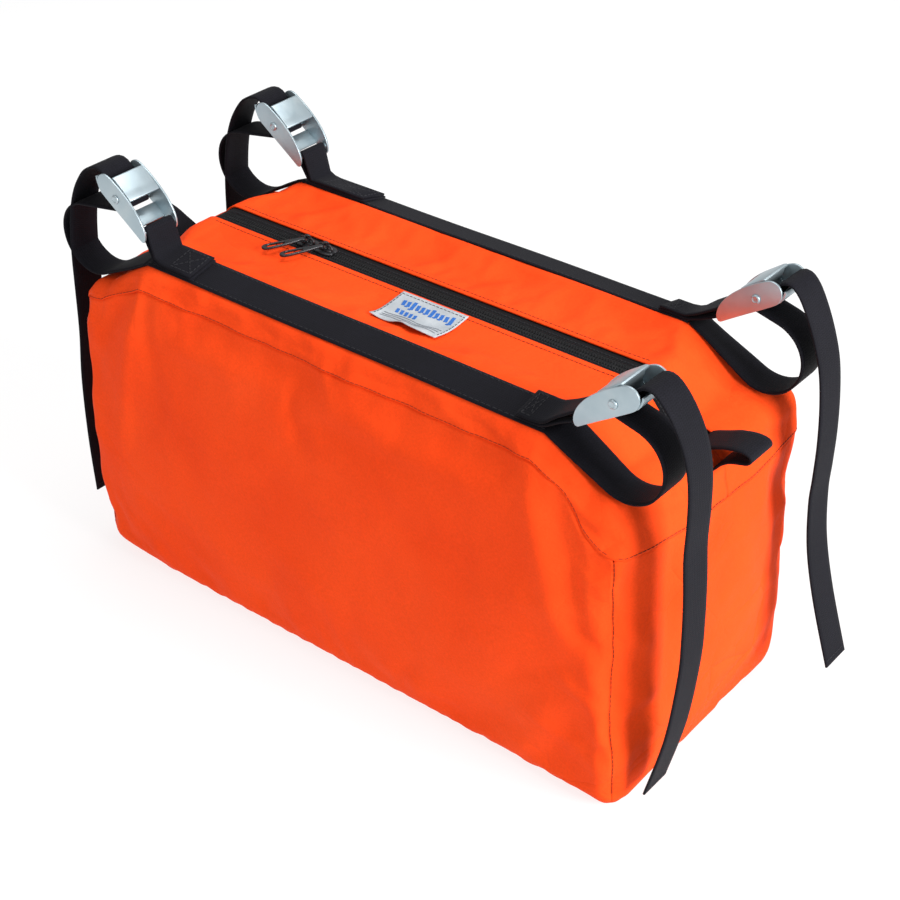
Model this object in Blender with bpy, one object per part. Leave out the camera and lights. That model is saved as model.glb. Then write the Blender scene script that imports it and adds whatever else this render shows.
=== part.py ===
"""Raft-frame cargo bag: a zip-top fabric box bag that hangs from two round frame tubes in four
webbing loops, each closed by a cam buckle.

Metres, +Z up.  Origin: middle of the flat base, on the surface that the bag stands on.
+X runs along the long side, to the right-hand end; the front face looks along -Y.
Each buckle, tab and strap is drawn for a right-hand corner and mirrored to the left.
"""
import math

import bmesh
import bpy
from mathutils import Vector
from mathutils.geometry import tessellate_polygon

for old in list(bpy.data.objects):
    bpy.data.objects.remove(old, do_unlink=True)

MM = 0.001

# ------------------------------------------------------------------ driving dimensions (mm)
BAG_LENGTH = 480.0          # end face to end face
BAG_DEPTH = 206.0           # front face to back face
TUBE_AXIS_Z = 262.0         # height of the tube axes above the base
TUBE_AXIS_X = 226.0         # tube axes stand this far each side of the middle
TUBE_R = 24.13              # 1.90 in outside diameter (1 1/2 in pipe)
FABRIC_T = 2.2              # side, end and bottom panels (drawn thicker than the cloth)
TOP_T = 1.5                 # top panels
GAP = 0.3                   # clearance between pieces that touch
WEB_W = 25.4                # 1 in webbing
WEB_T = 1.6
WEB_Y = 77.4                # centre of the top webbing, buckle and strap
TOP_Z = 0.4                 # outer face of the flat top, above the tube axes' level
TOP_FLAT_X = 168.0          # the top is level this far each side of the middle
TOP_INNER_Y = 9.5           # cloth edge beside the zip
END_FLAP_Z = -61.7          # lower edge of the top panel's end flap
LOOP_R = TUBE_R + 1.1 + WEB_T / 2   # centreline of the strap round the tube

SLIDER_LEFT_X = -101.0
SLIDER_RIGHT_X = -84.0
SLIDER_L = 16.0
SLIDER_W = 11.6
CHAIN_Z = TOP_Z - TOP_T - GAP - 0.4     # middle of the zip tape
PULL_YAW = math.radians(31.0)
PULL_LEN = 33.0
PULL_TIP_Z = 2.5            # the pull's tip rests this high on the top, clear of the label

LABEL_W = 56.0
LABEL_D = 38.0
LABEL_X = 24.0

# buckle, in its own frame: u from the anchor end to the tail end, n away from the tube
B_INNER = 13.9              # half the inside width
B_PLATE = 1.5               # side plate thickness
PIN_UN = (34.5, 7.6)
PIN_R = 1.9
BAR_UN = (5.2, 5.0)
BAR_R = 1.8
EDGE_UN = (30.0, 0.9)       # centre of the rounded edge that the strap folds over
EDGE_R = 0.7

# corner name: side in X, side in Y, buckle origin (x, z), slope, end of the tab, tab rise, tail
RIGHT_FRONT_TAIL = [(232.4, 52.8), (238.6, 54.2), (244.6, 51.2), (251.4, 44.0), (258.0, 34.0),
                    (263.2, 23.0), (267.0, 10.0), (269.0, -5.0), (269.6, -26.0), (269.4, -48.0),
                    (271.4, -75.0), (272.6, -106.0), (272.2, -136.0), (266.6, -188.0),
                    (254.6, -241.0)]
RIGHT_BACK_TAIL = [(232.4, 52.8), (239.0, 53.4), (245.6, 47.4), (253.0, 34.0), (259.6, 18.0),
                   (264.8, 0.0), (268.0, -24.0), (269.4, -50.0), (269.2, -75.0), (268.8, -96.0),
                   (272.0, -130.0), (281.0, -168.0), (296.6, -217.0)]
LEFT_TAIL = [(204.6, 57.6), (212.6, 58.4), (222.4, 53.4), (230.0, 44.4), (236.2, 33.8),
             (241.6, 19.0), (245.4, 0.0), (247.4, -22.0), (248.4, -46.0), (250.2, -84.0),
             (254.8, -126.0), (256.2, -178.0), (254.4, -226.0)]
CORNERS = {
    "front_right": dict(sx=1, sy=-1, p0=(192.7, 13.7), slope=33.3, tab_end=146.0, rise=165.0,
                        tail=RIGHT_FRONT_TAIL),
    "back_right": dict(sx=1, sy=1, p0=(192.7, 13.7), slope=33.3, tab_end=146.0, rise=165.0,
                       tail=RIGHT_BACK_TAIL),
    "front_left": dict(sx=-1, sy=-1, p0=(165.5, 16.5), slope=36.0, tab_end=125.0, rise=156.0,
                       tail=LEFT_TAIL),
    "back_left": dict(sx=-1, sy=1, p0=(165.5, 16.5), slope=36.0, tab_end=106.0, rise=156.0,
                      tail=LEFT_TAIL),
}


# ------------------------------------------------------------------ materials
def material(name, rgb, rough, metal=0.0):
    m = bpy.data.materials.new(name)
    m.use_nodes = True
    b = m.node_tree.nodes["Principled BSDF"]
    b.inputs["Base Color"].default_value = (*rgb, 1.0)
    b.inputs["Roughness"].default_value = rough
    b.inputs["Metallic"].default_value = metal
    m.diffuse_color = (*rgb, 1.0)
    return m


FABRIC = ("orange_fabric", (0.90, 0.085, 0.012), 0.55, 0.0)
WEBBING = ("black_webbing", (0.018, 0.019, 0.023), 0.8, 0.0)
ZINC = ("zinc_steel", (0.55, 0.60, 0.62), 0.3, 1.0)
TAPE = ("zip_tape", (0.012, 0.012, 0.014), 0.85, 0.0)
COIL = ("zip_coil", (0.015, 0.015, 0.017), 0.4, 0.0)
SLIDER = ("black_slider", (0.02, 0.02, 0.022), 0.35, 0.6)
LABEL = ("label_cloth", (0.52, 0.57, 0.60), 0.7, 0.0)


# ------------------------------------------------------------------ mesh helpers (mm in, m out)
def finish_mesh(name, verts, faces, mat, origin=(0, 0, 0), smooth=False):
    """An object whose mesh is given in mm in the shared frame (z above the base)."""
    me = bpy.data.meshes.new(name)
    o = Vector(origin)
    me.from_pydata([tuple((Vector(v) - o) * MM) for v in verts], [], faces)
    bm = bmesh.new()
    bm.from_mesh(me)
    bmesh.ops.recalc_face_normals(bm, faces=bm.faces)
    bm.to_mesh(me)
    bm.free()
    for p in me.polygons:
        p.use_smooth = smooth
    me.materials.append(material(name + "_" + mat[0], *mat[1:]))
    ob = bpy.data.objects.new(name, me)
    ob.location = o * MM
    bpy.context.scene.collection.objects.link(ob)
    return ob


def prism(outline, holes, y0, y1):
    """A plate: an outline in X and Z, with holes, from y0 to y1."""
    loops = [list(outline)] + [list(h) for h in holes]
    tris = tessellate_polygon([[Vector((x, z, 0)) for x, z in lp] for lp in loops])
    flat = [p for lp in loops for p in lp]
    n = len(flat)
    verts = [(x, y0, z) for x, z in flat] + [(x, y1, z) for x, z in flat]
    faces = [tuple(t) for t in tris] + [tuple(n + i for i in reversed(t)) for t in tris]
    start = 0
    for lp in loops:
        k = len(lp)
        for i in range(k):
            a, b = start + i, start + (i + 1) % k
            faces.append((a, b, n + b, n + a))
        start += k
    return verts, faces


def circle(cx, cz, r, n=20, phase=0.0):
    return [(cx + r * math.cos(phase + 2 * math.pi * i / n),
             cz + r * math.sin(phase + 2 * math.pi * i / n)) for i in range(n)]


def offset_path(pts, d):
    """The path moved d to its left, with mitred corners."""
    out = []
    for i, p in enumerate(pts):
        a = Vector(pts[max(i - 1, 0)])
        b = Vector(p)
        c = Vector(pts[min(i + 1, len(pts) - 1)])
        d1 = (b - a).normalized() if (b - a).length > 1e-9 else (c - b).normalized()
        d2 = (c - b).normalized() if (c - b).length > 1e-9 else d1
        n1 = Vector((-d1.y, d1.x))
        n2 = Vector((-d2.y, d2.x))
        m = (n1 + n2).normalized()
        k = d / max(m.dot(n1), 0.5)
        out.append((b.x + m.x * k, b.y + m.y * k))
    return out


def ribbon(path, t, y0, y1):
    """A strip of thickness t that follows a path in X and Z, from y0 to y1, as quads."""
    left, right = offset_path(path, t / 2), offset_path(path, -t / 2)
    verts, faces = [], []
    for (lx, lz), (rx, rz) in zip(left, right):
        verts += [(lx, y0, lz), (rx, y0, rz), (rx, y1, rz), (lx, y1, lz)]
    for i in range(len(path) - 1):
        a, b = 4 * i, 4 * i + 4
        for k in range(4):
            k2 = (k + 1) % 4
            faces.append((a + k, a + k2, b + k2, b + k))
    faces.append((0, 1, 2, 3))
    e = 4 * (len(path) - 1)
    faces.append((e + 3, e + 2, e + 1, e))
    return verts, faces


def box(x0, x1, y0, y1, z0, z1):
    return prism([(x0, z0), (x1, z0), (x1, z1), (x0, z1)], [], y0, y1)


def catmull(pts, step):
    """A smooth curve through the points, with about one point every step mm."""
    out = []
    for i in range(len(pts) - 1):
        p0 = Vector(pts[max(i - 1, 0)])
        p1, p2 = Vector(pts[i]), Vector(pts[i + 1])
        p3 = Vector(pts[min(i + 2, len(pts) - 1)])
        k = max(1, round((p2 - p1).length / step))
        for j in range(k):
            t = j / k
            out.append(tuple(0.5 * ((2 * p1) + (p2 - p0) * t + (2 * p0 - 5 * p1 + 4 * p2 - p3) * t * t
                                    + (3 * p1 - p0 - 3 * p2 + p3) * t ** 3)))
    out.append(tuple(pts[-1]))
    return out


def joined(name, solids, mat, origin=(0, 0, 0), cut=None):
    """One closed solid from overlapping ones, by exact Booleans, less the cut."""
    base = finish_mesh(name, *solids[0], mat, origin)
    helpers = []
    for i, s in enumerate(solids[1:]):
        h = finish_mesh(f"{name}_add{i}", *s, mat)
        helpers.append(h)
        m = base.modifiers.new(f"join{i}", "BOOLEAN")
        m.operation, m.solver, m.object = "UNION", "EXACT", h
    for i, s in enumerate(cut or []):
        h = finish_mesh(f"{name}_cut{i}", *s, mat)
        helpers.append(h)
        m = base.modifiers.new(f"cut{i}", "BOOLEAN")
        m.operation, m.solver, m.object = "DIFFERENCE", "EXACT", h
    bpy.context.view_layer.update()
    dg = bpy.context.evaluated_depsgraph_get()
    me = bpy.data.meshes.new_from_object(base.evaluated_get(dg))
    me.name = name
    base.modifiers.clear()
    base.data = me
    for h in helpers:
        bpy.data.objects.remove(h, do_unlink=True)
    bm = bmesh.new()
    bm.from_mesh(me)
    bmesh.ops.remove_doubles(bm, verts=bm.verts, dist=2e-6)
    bmesh.ops.dissolve_degenerate(bm, edges=bm.edges, dist=1e-6)
    bmesh.ops.recalc_face_normals(bm, faces=bm.faces)
    bm.to_mesh(me)
    bm.free()
    return base


def lift(solid, sx=1, dy=0.0):
    """From tube-axis heights to heights above the base, mirrored in X for the left side."""
    verts, faces = solid
    return [(sx * x, y + dy, z + TUBE_AXIS_Z) for x, y, z in verts], faces


# ------------------------------------------------------------------ bag panels
HX, HY = BAG_LENGTH / 2, BAG_DEPTH / 2


def top_profile(d=0.0, cut_low=END_FLAP_Z):
    """Outer face of the top, from the left flap's lower edge to the right one's, moved in by d."""
    half = [(TOP_FLAT_X, TOP_Z), (204.0, -25.4), (213.0, -28.2), (222.0, -29.4), (230.0, -31.4),
            (236.6, -36.0), (HX, -43.5), (HX, cut_low)]
    pts = [(-x, z) for x, z in reversed(half)] + half
    return offset_path(pts, -d)


finish_mesh("bottom_panel", *box(-HX + FABRIC_T + GAP, HX - FABRIC_T - GAP, -HY + FABRIC_T + GAP,
                                 HY - FABRIC_T - GAP, 0.0, FABRIC_T), FABRIC)
side_outline = ([(-HX, -TUBE_AXIS_Z), (HX, -TUBE_AXIS_Z)]
                + [(x, z) for x, z in reversed(top_profile(0.0)[1:-1])])
for name, sy in (("front_panel", -1), ("back_panel", 1)):
    ys = sorted((sy * HY, sy * (HY - FABRIC_T)))
    finish_mesh(name, *lift(prism(side_outline, [], *ys)), FABRIC)
for name, sx in (("end_panel_left", -1), ("end_panel_right", 1)):
    xs = sorted((sx * HX, sx * (HX - FABRIC_T)))
    finish_mesh(name, *box(*xs, -HY + FABRIC_T + GAP, HY - FABRIC_T - GAP, 0.0,
                           TUBE_AXIS_Z + END_FLAP_Z - GAP), FABRIC)
for name, sy in (("top_panel_front", -1), ("top_panel_back", 1)):
    ys = sorted((sy * TOP_INNER_Y, sy * (HY - FABRIC_T - GAP)))
    finish_mesh(name, *lift(ribbon(top_profile(TOP_T / 2), TOP_T, *ys)), FABRIC)

# ------------------------------------------------------------------ zip
tape_path = top_profile(TOP_T + GAP + 0.4, END_FLAP_Z + 8)
for name, sy in (("zip_tape_front", -1), ("zip_tape_back", 1)):
    ys = sorted((sy * 5.0, sy * 17.0))
    finish_mesh(name, *lift(ribbon(tape_path, 0.8, *ys)), TAPE)
for name, sy in (("zip_coil_front", -1), ("zip_coil_back", 1)):
    ys = sorted((sy * 0.6, sy * 4.7))
    finish_mesh(name, *lift(ribbon(tape_path, 2.6, *ys)), COIL)


def slider(name, cx, mouth):
    """Slider body: two plates with turned-in sides, the wedge post between them, and the bail."""
    z0 = CHAIN_Z
    h = SLIDER_L / 2
    nose = [(-h, -SLIDER_W * 0.36), (-h * 0.55, -SLIDER_W / 2), (h * 0.6, -SLIDER_W / 2),
            (h, -SLIDER_W * 0.30), (h, SLIDER_W * 0.30), (h * 0.6, SLIDER_W / 2),
            (-h * 0.55, SLIDER_W / 2), (-h, SLIDER_W * 0.36)]
    nose = [(cx - mouth * x, y) for x, y in nose]

    def plate(za, zb):
        n = len(nose)
        v = [(x, y, za) for x, y in nose] + [(x, y, zb) for x, y in nose]
        f = [tuple(range(n)), tuple(range(2 * n - 1, n - 1, -1))]
        f += [(i, (i + 1) % n, n + (i + 1) % n, n + i) for i in range(n)]
        return v, f
    a, b = sorted((cx + mouth * (h - 5.5), cx + mouth * (h - 0.6)))
    solids = [plate(z0 + 1.7, z0 + 3.2), plate(z0 - 3.2, z0 - 1.7), box(a, b, -0.3, 0.3, z0 - 2, z0 + 2)]
    for s in (-1, 1):
        ys = sorted((s * 5.0, s * (SLIDER_W / 2 - 0.05)))
        solids.append(box(cx - h * 0.5, cx + h * 0.5, *ys, z0 + 0.8, z0 + 2.2))
        solids.append(box(cx - h * 0.5, cx + h * 0.5, *ys, z0 - 2.2, z0 - 0.8))
    rod_z = z0 + 6.6
    for s in (-1, 1):
        solids.append(prism([(cx + s * 4.2, z0 + 3.0), (cx + s * 6.2, z0 + 3.0),
                             (cx + s * 5.2, rod_z + 0.7), (cx + s * 4.0, rod_z + 0.7)], [], -1.0, 1.0))
    rod = [(-4.6 + cx, math.cos(t) * 0.8, rod_z + math.sin(t) * 0.8)
           for t in (2 * math.pi * i / 10 for i in range(10))]
    rod += [(x + 9.2, y, z) for x, y, z in rod]
    rf = [tuple(range(10)), tuple(range(19, 9, -1))]
    rf += [(i, (i + 1) % 10, 10 + (i + 1) % 10, 10 + i) for i in range(10)]
    solids.append((rod, rf))
    return joined(name, [lift(s) for s in solids], SLIDER, (cx, 0, TUBE_AXIS_Z + rod_z))


def pull(name, cx):
    """Long flat pull with a rolled eye round the bail and a slot near its tip."""
    eye_z = CHAIN_Z + 6.6
    tilt = math.asin((eye_z - TOP_Z - PULL_TIP_Z) / PULL_LEN)
    d = Vector((-math.sin(PULL_YAW) * math.cos(tilt), -math.cos(PULL_YAW) * math.cos(tilt),
                -math.sin(tilt)))
    a = Vector((math.cos(PULL_YAW), -math.sin(PULL_YAW), 0.0))
    n = a.cross(d)
    if n.z < 0:
        n = -n
    o = Vector((cx, 0, eye_z + TUBE_AXIS_Z))

    def at(solid):
        # solid is drawn with x along the pull, y its thickness, z across it
        v, f = solid
        return [tuple(o + d * x + n * y + a * z) for x, y, z in v], f
    half = [(2.1, 1.5), (6.0, 1.7), (10.0, 2.5), (16.0, 3.1), (28.0, 3.5), (31.5, 3.0), (33.0, 1.4)]
    outline = half + [(x, -z) for x, z in reversed(half)]
    slot = [(18.0, 1.0), (19.0, 1.6), (27.0, 1.8), (28.6, 1.0)]
    slot = slot + [(x, -z) for x, z in reversed(slot)]
    bar = prism(outline, [slot], -0.8, 0.8)
    eye_o, eye_i = circle(0, 0, 2.7, 16), circle(0, 0, 1.8, 16)
    ev, ef = prism(eye_o, [eye_i], -1.1, 1.1)
    # the eye's own axis is a: turn its y onto a and its x, z onto d, n
    eye = ([tuple(o + d * x + n * z + a * y) for x, y, z in ev], ef)
    return joined(name, [at(bar), eye], SLIDER, tuple(o))


slider("zip_slider_left", SLIDER_LEFT_X, 1)
slider("zip_slider_right", SLIDER_RIGHT_X, -1)
pull("zip_pull_left", SLIDER_LEFT_X)
pull("zip_pull_right", SLIDER_RIGHT_X)

# ------------------------------------------------------------------ label and grab loops
finish_mesh("label", *lift(box(LABEL_X - LABEL_W / 2, LABEL_X + LABEL_W / 2, -11.0 - LABEL_D, -11.0,
                               TOP_Z + GAP, TOP_Z + GAP + 0.7)), LABEL)
loop_path = catmull([(228.4, -27.9), (236.2, -24.9), (244.0, -21.0), (253.0, -18.8), (260.0, -18.4),
                     (264.2, -20.2), (264.4, -24.0), (261.2, -28.4), (255.5, -31.9), (249.5, -34.8),
                     (244.6, -38.8), (241.5, -44.5), (241.1, -53.0)], 4.0)
for name, sx in (("grab_loop_left", -1), ("grab_loop_right", 1)):
    finish_mesh(name, *lift(ribbon(loop_path, WEB_T, -WEB_W / 2, WEB_W / 2), sx), WEBBING)

# ------------------------------------------------------------------ top webbing
WEB_Z = TOP_Z + GAP + WEB_T / 2
for name, sy in (("top_webbing_front", -1), ("top_webbing_back", 1)):
    finish_mesh(name, *lift(box(-168.4, 168.4, sy * WEB_Y - WEB_W / 2, sy * WEB_Y + WEB_W / 2,
                                WEB_Z - WEB_T / 2, WEB_Z + WEB_T / 2)), WEBBING)

# ------------------------------------------------------------------ buckles, tabs and straps
SIDE_OUTLINE = [(0.3, 1.0), (1.6, 0.0), (8.0, 0.0), (20.0, 0.0), (34.0, -0.1), (45.5, 0.1),
                (49.6, 1.2), (52.8, 3.8), (54.2, 7.4), (54.0, 11.0), (51.8, 14.2), (48.2, 16.0),
                (42.0, 16.7), (34.0, 16.9), (25.0, 16.3), (17.0, 14.9), (10.4, 12.6), (5.4, 9.8),
                (1.6, 6.2), (0.2, 3.4)]
BASE_REAR = [(30.0, 0.2), (46.0, 0.2), (49.6, 0.6), (53.0, 2.0), (55.6, 4.2), (56.6, 5.8),
             (55.4, 6.4), (54.4, 5.0), (52.2, 3.2), (49.2, 1.9), (46.0, 1.6), (30.0, 1.6),
             (29.5, 1.4), (29.3, 0.9), (29.5, 0.4)]
BASE_FRONT = [(11.2, 0.9), (11.5, 0.4), (12.2, 0.2), (23.3, 0.2), (23.8, 0.5), (24.0, 0.9),
              (23.8, 1.3), (23.3, 1.6), (12.2, 1.6), (11.5, 1.4)]
THUMB = [(25.2, 15.0), (25.8, 14.6), (33.0, 14.9), (42.6, 15.3), (45.2, 15.6), (45.8, 16.6),
         (44.9, 17.5), (43.0, 17.8), (33.0, 17.2), (26.0, 16.6), (25.3, 16.1)]
CAM = [(33.4, 16.0), (31.6, 13.2), (30.8, 10.4), (30.6, 8.0), (31.1, 6.0), (32.4, 4.6),
       (33.6, 4.1), (34.2, 4.5), (34.9, 3.95), (35.5, 4.4), (36.2, 4.05), (36.8, 4.6), (37.5, 4.5),
       (38.2, 5.6), (38.9, 7.6), (39.6, 9.6), (41.4, 12.0), (44.0, 14.2), (45.2, 16.0), (43.6, 17.0)]


def buckle_frame_of(c):
    s = math.radians(c["slope"])
    u, n = (math.cos(s), math.sin(s)), (-math.sin(s), math.cos(s))
    px, pz = c["p0"]
    return lambda a, b: (px + a * u[0] + b * n[0], pz + a * u[1] + b * n[1])


def strap_path(c):
    """Under the tube, round its outer side, over it, up through the buckle and out as the tail."""
    at = buckle_frame_of(c)
    c1 = Vector((TUBE_AXIS_X, 0.0))
    start = Vector((168.8, WEB_Z))
    # from the top webbing, tangent to the underside of the loop
    v = c1 - start
    ang = math.atan2(v.y, v.x) - math.asin(LOOP_R / v.length)
    a0 = ang - math.pi / 2
    # crossed tangent from the loop to the edge that the strap folds over
    c2 = Vector(at(*EDGE_UN))
    r2 = EDGE_R + GAP + WEB_T / 2
    w = c2 - c1
    d = math.atan2(w.y, w.x) + math.asin((LOOP_R + r2) / w.length)
    a1 = d - math.pi / 2
    pts = [tuple(start + (c1 + LOOP_R * Vector((math.cos(a0), math.sin(a0))) - start) * k / 4)
           for k in range(4)]
    n = 22
    pts += [(c1.x + LOOP_R * math.cos(a0 + (a1 - a0) * i / n),
             c1.y + LOOP_R * math.sin(a0 + (a1 - a0) * i / n)) for i in range(n + 1)]
    b0 = d + math.pi / 2
    b1 = math.radians(c["slope"]) + math.pi / 2
    p_in = c2 + r2 * Vector((math.cos(b0), math.sin(b0)))
    p_out = Vector(pts[-1])
    pts += [tuple(p_out + (p_in - p_out) * k / 3) for k in (1, 2)]
    m = 7
    pts += [(c2.x + r2 * math.cos(b0 + (b1 - b0) * i / m),
             c2.y + r2 * math.sin(b0 + (b1 - b0) * i / m)) for i in range(m + 1)]
    n_flat = EDGE_UN[1] + r2
    tail = catmull([at(33.0, n_flat), at(38.0, n_flat + 0.05), at(42.6, n_flat + 1.7),
                    at(46.4, n_flat + 5.6)] + c["tail"], 7.0)
    return pts + tail


def tab_path(c):
    """Two layers on the top webbing, then up, round the anchor bar and back."""
    at = buckle_frame_of(c)
    bar = Vector(at(*BAR_UN))
    r = BAR_R + GAP + WEB_T / 2
    z1 = WEB_Z + WEB_T + GAP
    z2 = z1 + WEB_T + GAP
    rise = c["rise"]
    low = Vector((rise + 4.0, z1 + 1.3))
    high = Vector((rise + 2.6, z2 + 1.5))
    v = bar - low
    a0 = math.atan2(v.y, v.x) - math.asin(r / v.length) - math.pi / 2
    v = bar - high
    a1 = math.atan2(v.y, v.x) + math.asin(r / v.length) + math.pi / 2
    pts = [(c["tab_end"], z1), (rise - 6, z1), (rise, z1 + 0.3), tuple(low)]
    k = 10
    pts += [(bar.x + r * math.cos(a0 + (a1 - a0) * i / k),
             bar.y + r * math.sin(a0 + (a1 - a0) * i / k)) for i in range(k + 1)]
    pts += [tuple(high), (rise - 1.4, z2 + 0.3), (rise - 7, z2), (c["tab_end"] + 1.0, z2)]
    return pts


def helix(at, y0, y1, turns, r_mean, r_wire, sx, yc):
    """The cam's torsion spring on its pin: a closed coil of round wire with flat ends."""
    n, k = int(turns * 14), 6
    cx, cz = at(*PIN_UN)
    verts, faces = [], []
    for i in range(n + 1):
        t = i / n
        a = 2 * math.pi * turns * t
        y = y0 + (y1 - y0) * t
        for j in range(k):
            b = 2 * math.pi * j / k
            rr = r_mean + r_wire * math.cos(b)
            verts.append((sx * (cx + rr * math.cos(a)), yc + y + r_wire * math.sin(b),
                          TUBE_AXIS_Z + cz + rr * math.sin(a)))
    for i in range(n):
        for j in range(k):
            j2 = (j + 1) % k
            faces.append((i * k + j, i * k + j2, (i + 1) * k + j2, (i + 1) * k + j))
    faces.append(tuple(range(k)))
    faces.append(tuple(n * k + j for j in reversed(range(k))))
    return verts, faces


for corner, c in CORNERS.items():
    sx, yc = c["sx"], c["sy"] * WEB_Y
    at = buckle_frame_of(c)

    def solid(outline, y0, y1, holes=()):
        return lift(prism([at(*p) for p in outline], [[at(*p) for p in h] for h in holes], y0, y1),
                    sx, yc)

    pin_hole = circle(*PIN_UN, PIN_R + 0.1, 16)
    solids = [solid(SIDE_OUTLINE, -B_INNER - B_PLATE, -B_INNER, [pin_hole]),
              solid(SIDE_OUTLINE, B_INNER, B_INNER + B_PLATE, [pin_hole]),
              solid(BASE_FRONT, -B_INNER - 0.6, B_INNER + 0.6),
              solid(BASE_REAR, -B_INNER - 0.6, B_INNER + 0.6),
              solid(circle(*BAR_UN, BAR_R, 14), -B_INNER - 0.6, B_INNER + 0.6)]
    joined(f"{corner}_buckle_frame", solids, ZINC)

    px, pz = at(*PIN_UN)
    pivot = (sx * px, yc, TUBE_AXIS_Z + pz)
    joined(f"{corner}_cam_lever",
           [solid(THUMB, -13.5, 13.5), solid(CAM, -13.5, 9.6)], ZINC, pivot,
           cut=[solid(circle(*PIN_UN, PIN_R + 0.1, 16), -16.0, 16.0)])

    pin = []
    ring = [(3.1, -B_INNER - B_PLATE - 1.15), (3.1, -B_INNER - B_PLATE - 0.1),
            (PIN_R, -B_INNER - B_PLATE - 0.1), (PIN_R, B_INNER + B_PLATE + 0.1),
            (3.1, B_INNER + B_PLATE + 0.1), (3.1, B_INNER + B_PLATE + 1.15)]
    ring = [(2.4, ring[0][1] - 0.45)] + ring + [(2.4, ring[-1][1] + 0.45)]
    verts, faces, k = [], [], 16
    for r, y in ring:
        verts += [(sx * x, yc + y, TUBE_AXIS_Z + z)
                  for x, z in circle(px, pz, r, k, math.radians(c["slope"]))]
    for i in range(len(ring) - 1):
        for j in range(k):
            j2 = (j + 1) % k
            faces.append((i * k + j, i * k + j2, (i + 1) * k + j2, (i + 1) * k + j))
    faces.append(tuple(range(k)))
    faces.append(tuple((len(ring) - 1) * k + j for j in reversed(range(k))))
    finish_mesh(f"{corner}_cam_pin", verts, faces, ZINC, pivot)

    finish_mesh(f"{corner}_cam_spring",
                *helix(at, 10.5, 13.1, 2.6, PIN_R + 0.35 + 0.4, 0.4, sx, yc), ZINC, pivot)

    finish_mesh(f"{corner}_buckle_tab",
                *lift(ribbon(tab_path(c), WEB_T, -WEB_W / 2, WEB_W / 2), sx, yc), WEBBING)
    finish_mesh(f"{corner}_strap",
                *lift(ribbon(strap_path(c), WEB_T, -WEB_W / 2, WEB_W / 2), sx, yc), WEBBING)
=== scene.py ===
"""Looks for the raft-frame cargo bag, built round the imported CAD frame."""
import math

import bmesh
import bpy
import numpy as np
from mathutils import Matrix, Vector, noise
from mathutils.bvhtree import BVHTree
from mathutils.geometry import tessellate_polygon


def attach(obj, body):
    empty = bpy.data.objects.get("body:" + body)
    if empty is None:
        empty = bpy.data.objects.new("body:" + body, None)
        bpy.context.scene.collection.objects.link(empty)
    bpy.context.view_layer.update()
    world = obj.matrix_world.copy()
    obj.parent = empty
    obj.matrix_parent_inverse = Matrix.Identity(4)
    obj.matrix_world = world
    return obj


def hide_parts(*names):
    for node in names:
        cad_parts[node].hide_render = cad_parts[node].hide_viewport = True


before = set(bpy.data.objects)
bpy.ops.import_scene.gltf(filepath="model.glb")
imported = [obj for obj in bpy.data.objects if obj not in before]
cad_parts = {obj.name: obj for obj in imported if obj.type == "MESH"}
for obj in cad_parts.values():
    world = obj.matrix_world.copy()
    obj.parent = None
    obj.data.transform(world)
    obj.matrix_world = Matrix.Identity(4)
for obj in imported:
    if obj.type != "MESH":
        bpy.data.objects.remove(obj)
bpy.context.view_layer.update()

MM = 0.001
TZ = 262.0                      # tube axis height above the base, as in the CAD
HX, HY, H0 = 240.0, 103.0, 262.4
SCENE = bpy.context.scene


# =============================================================== camera, floor and light
def look(rows, at, lens):
    cam = bpy.data.objects.new("camera", bpy.data.cameras.new("camera"))
    m = Matrix(((rows[0][0], rows[1][0], rows[2][0]), (rows[0][1], rows[1][1], rows[2][1]),
                (rows[0][2], rows[1][2], rows[2][2])))
    cam.matrix_world = Matrix.Translation(at) @ m.to_4x4()
    cam.data.sensor_width = 36.0
    cam.data.lens = lens
    cam.data.clip_start, cam.data.clip_end = 0.05, 30.0
    SCENE.collection.objects.link(cam)
    SCENE.camera = cam
    return cam


look([(0.7801, 0.6257, -0.0028), (-0.3454, 0.4344, 0.8319), (0.5217, -0.6480, 0.5550)],
     (0.6839, -0.8178, 0.5806 + TZ * MM), 72.49)


# =============================================================== node helpers
def new_material(name):
    m = bpy.data.materials.new(name)
    m.use_nodes = True
    nt = m.node_tree
    return m, nt, nt.nodes["Principled BSDF"]


def node(nt, kind, **sets):
    n = nt.nodes.new(kind)
    for k, v in sets.items():
        if k in n.inputs:
            n.inputs[k].default_value = v
        else:
            setattr(n, k, v)
    return n


def maths(nt, op, a, b=None, c=None):
    n = nt.nodes.new("ShaderNodeMath")
    n.operation = op
    for i, v in enumerate((a, b, c)):
        if v is None:
            continue
        if isinstance(v, (int, float)):
            n.inputs[i].default_value = v
        else:
            nt.links.new(v, n.inputs[i])
    return n.outputs[0]


def noise_tex(nt, vec, scale, detail=3.0, rough=0.5, distortion=0.0):
    n = node(nt, "ShaderNodeTexNoise", Scale=scale, Detail=detail, Roughness=rough,
             Distortion=distortion)
    nt.links.new(vec, n.inputs["Vector"])
    return n.outputs["Fac"]


def ramp(nt, fac, stops):
    n = nt.nodes.new("ShaderNodeValToRGB")
    els = n.color_ramp.elements
    while len(els) < len(stops):
        els.new(0.5)
    for e, (p, c) in zip(els, stops):
        e.position = p
        e.color = (*c, 1.0) if len(c) == 3 else c
    nt.links.new(fac, n.inputs["Fac"])
    return n.outputs["Color"]


def mapped(nt, lo, hi, fac):
    n = node(nt, "ShaderNodeMapRange")
    n.inputs["To Min"].default_value = lo
    n.inputs["To Max"].default_value = hi
    nt.links.new(fac, n.inputs["Value"])
    return n.outputs["Result"]


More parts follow.
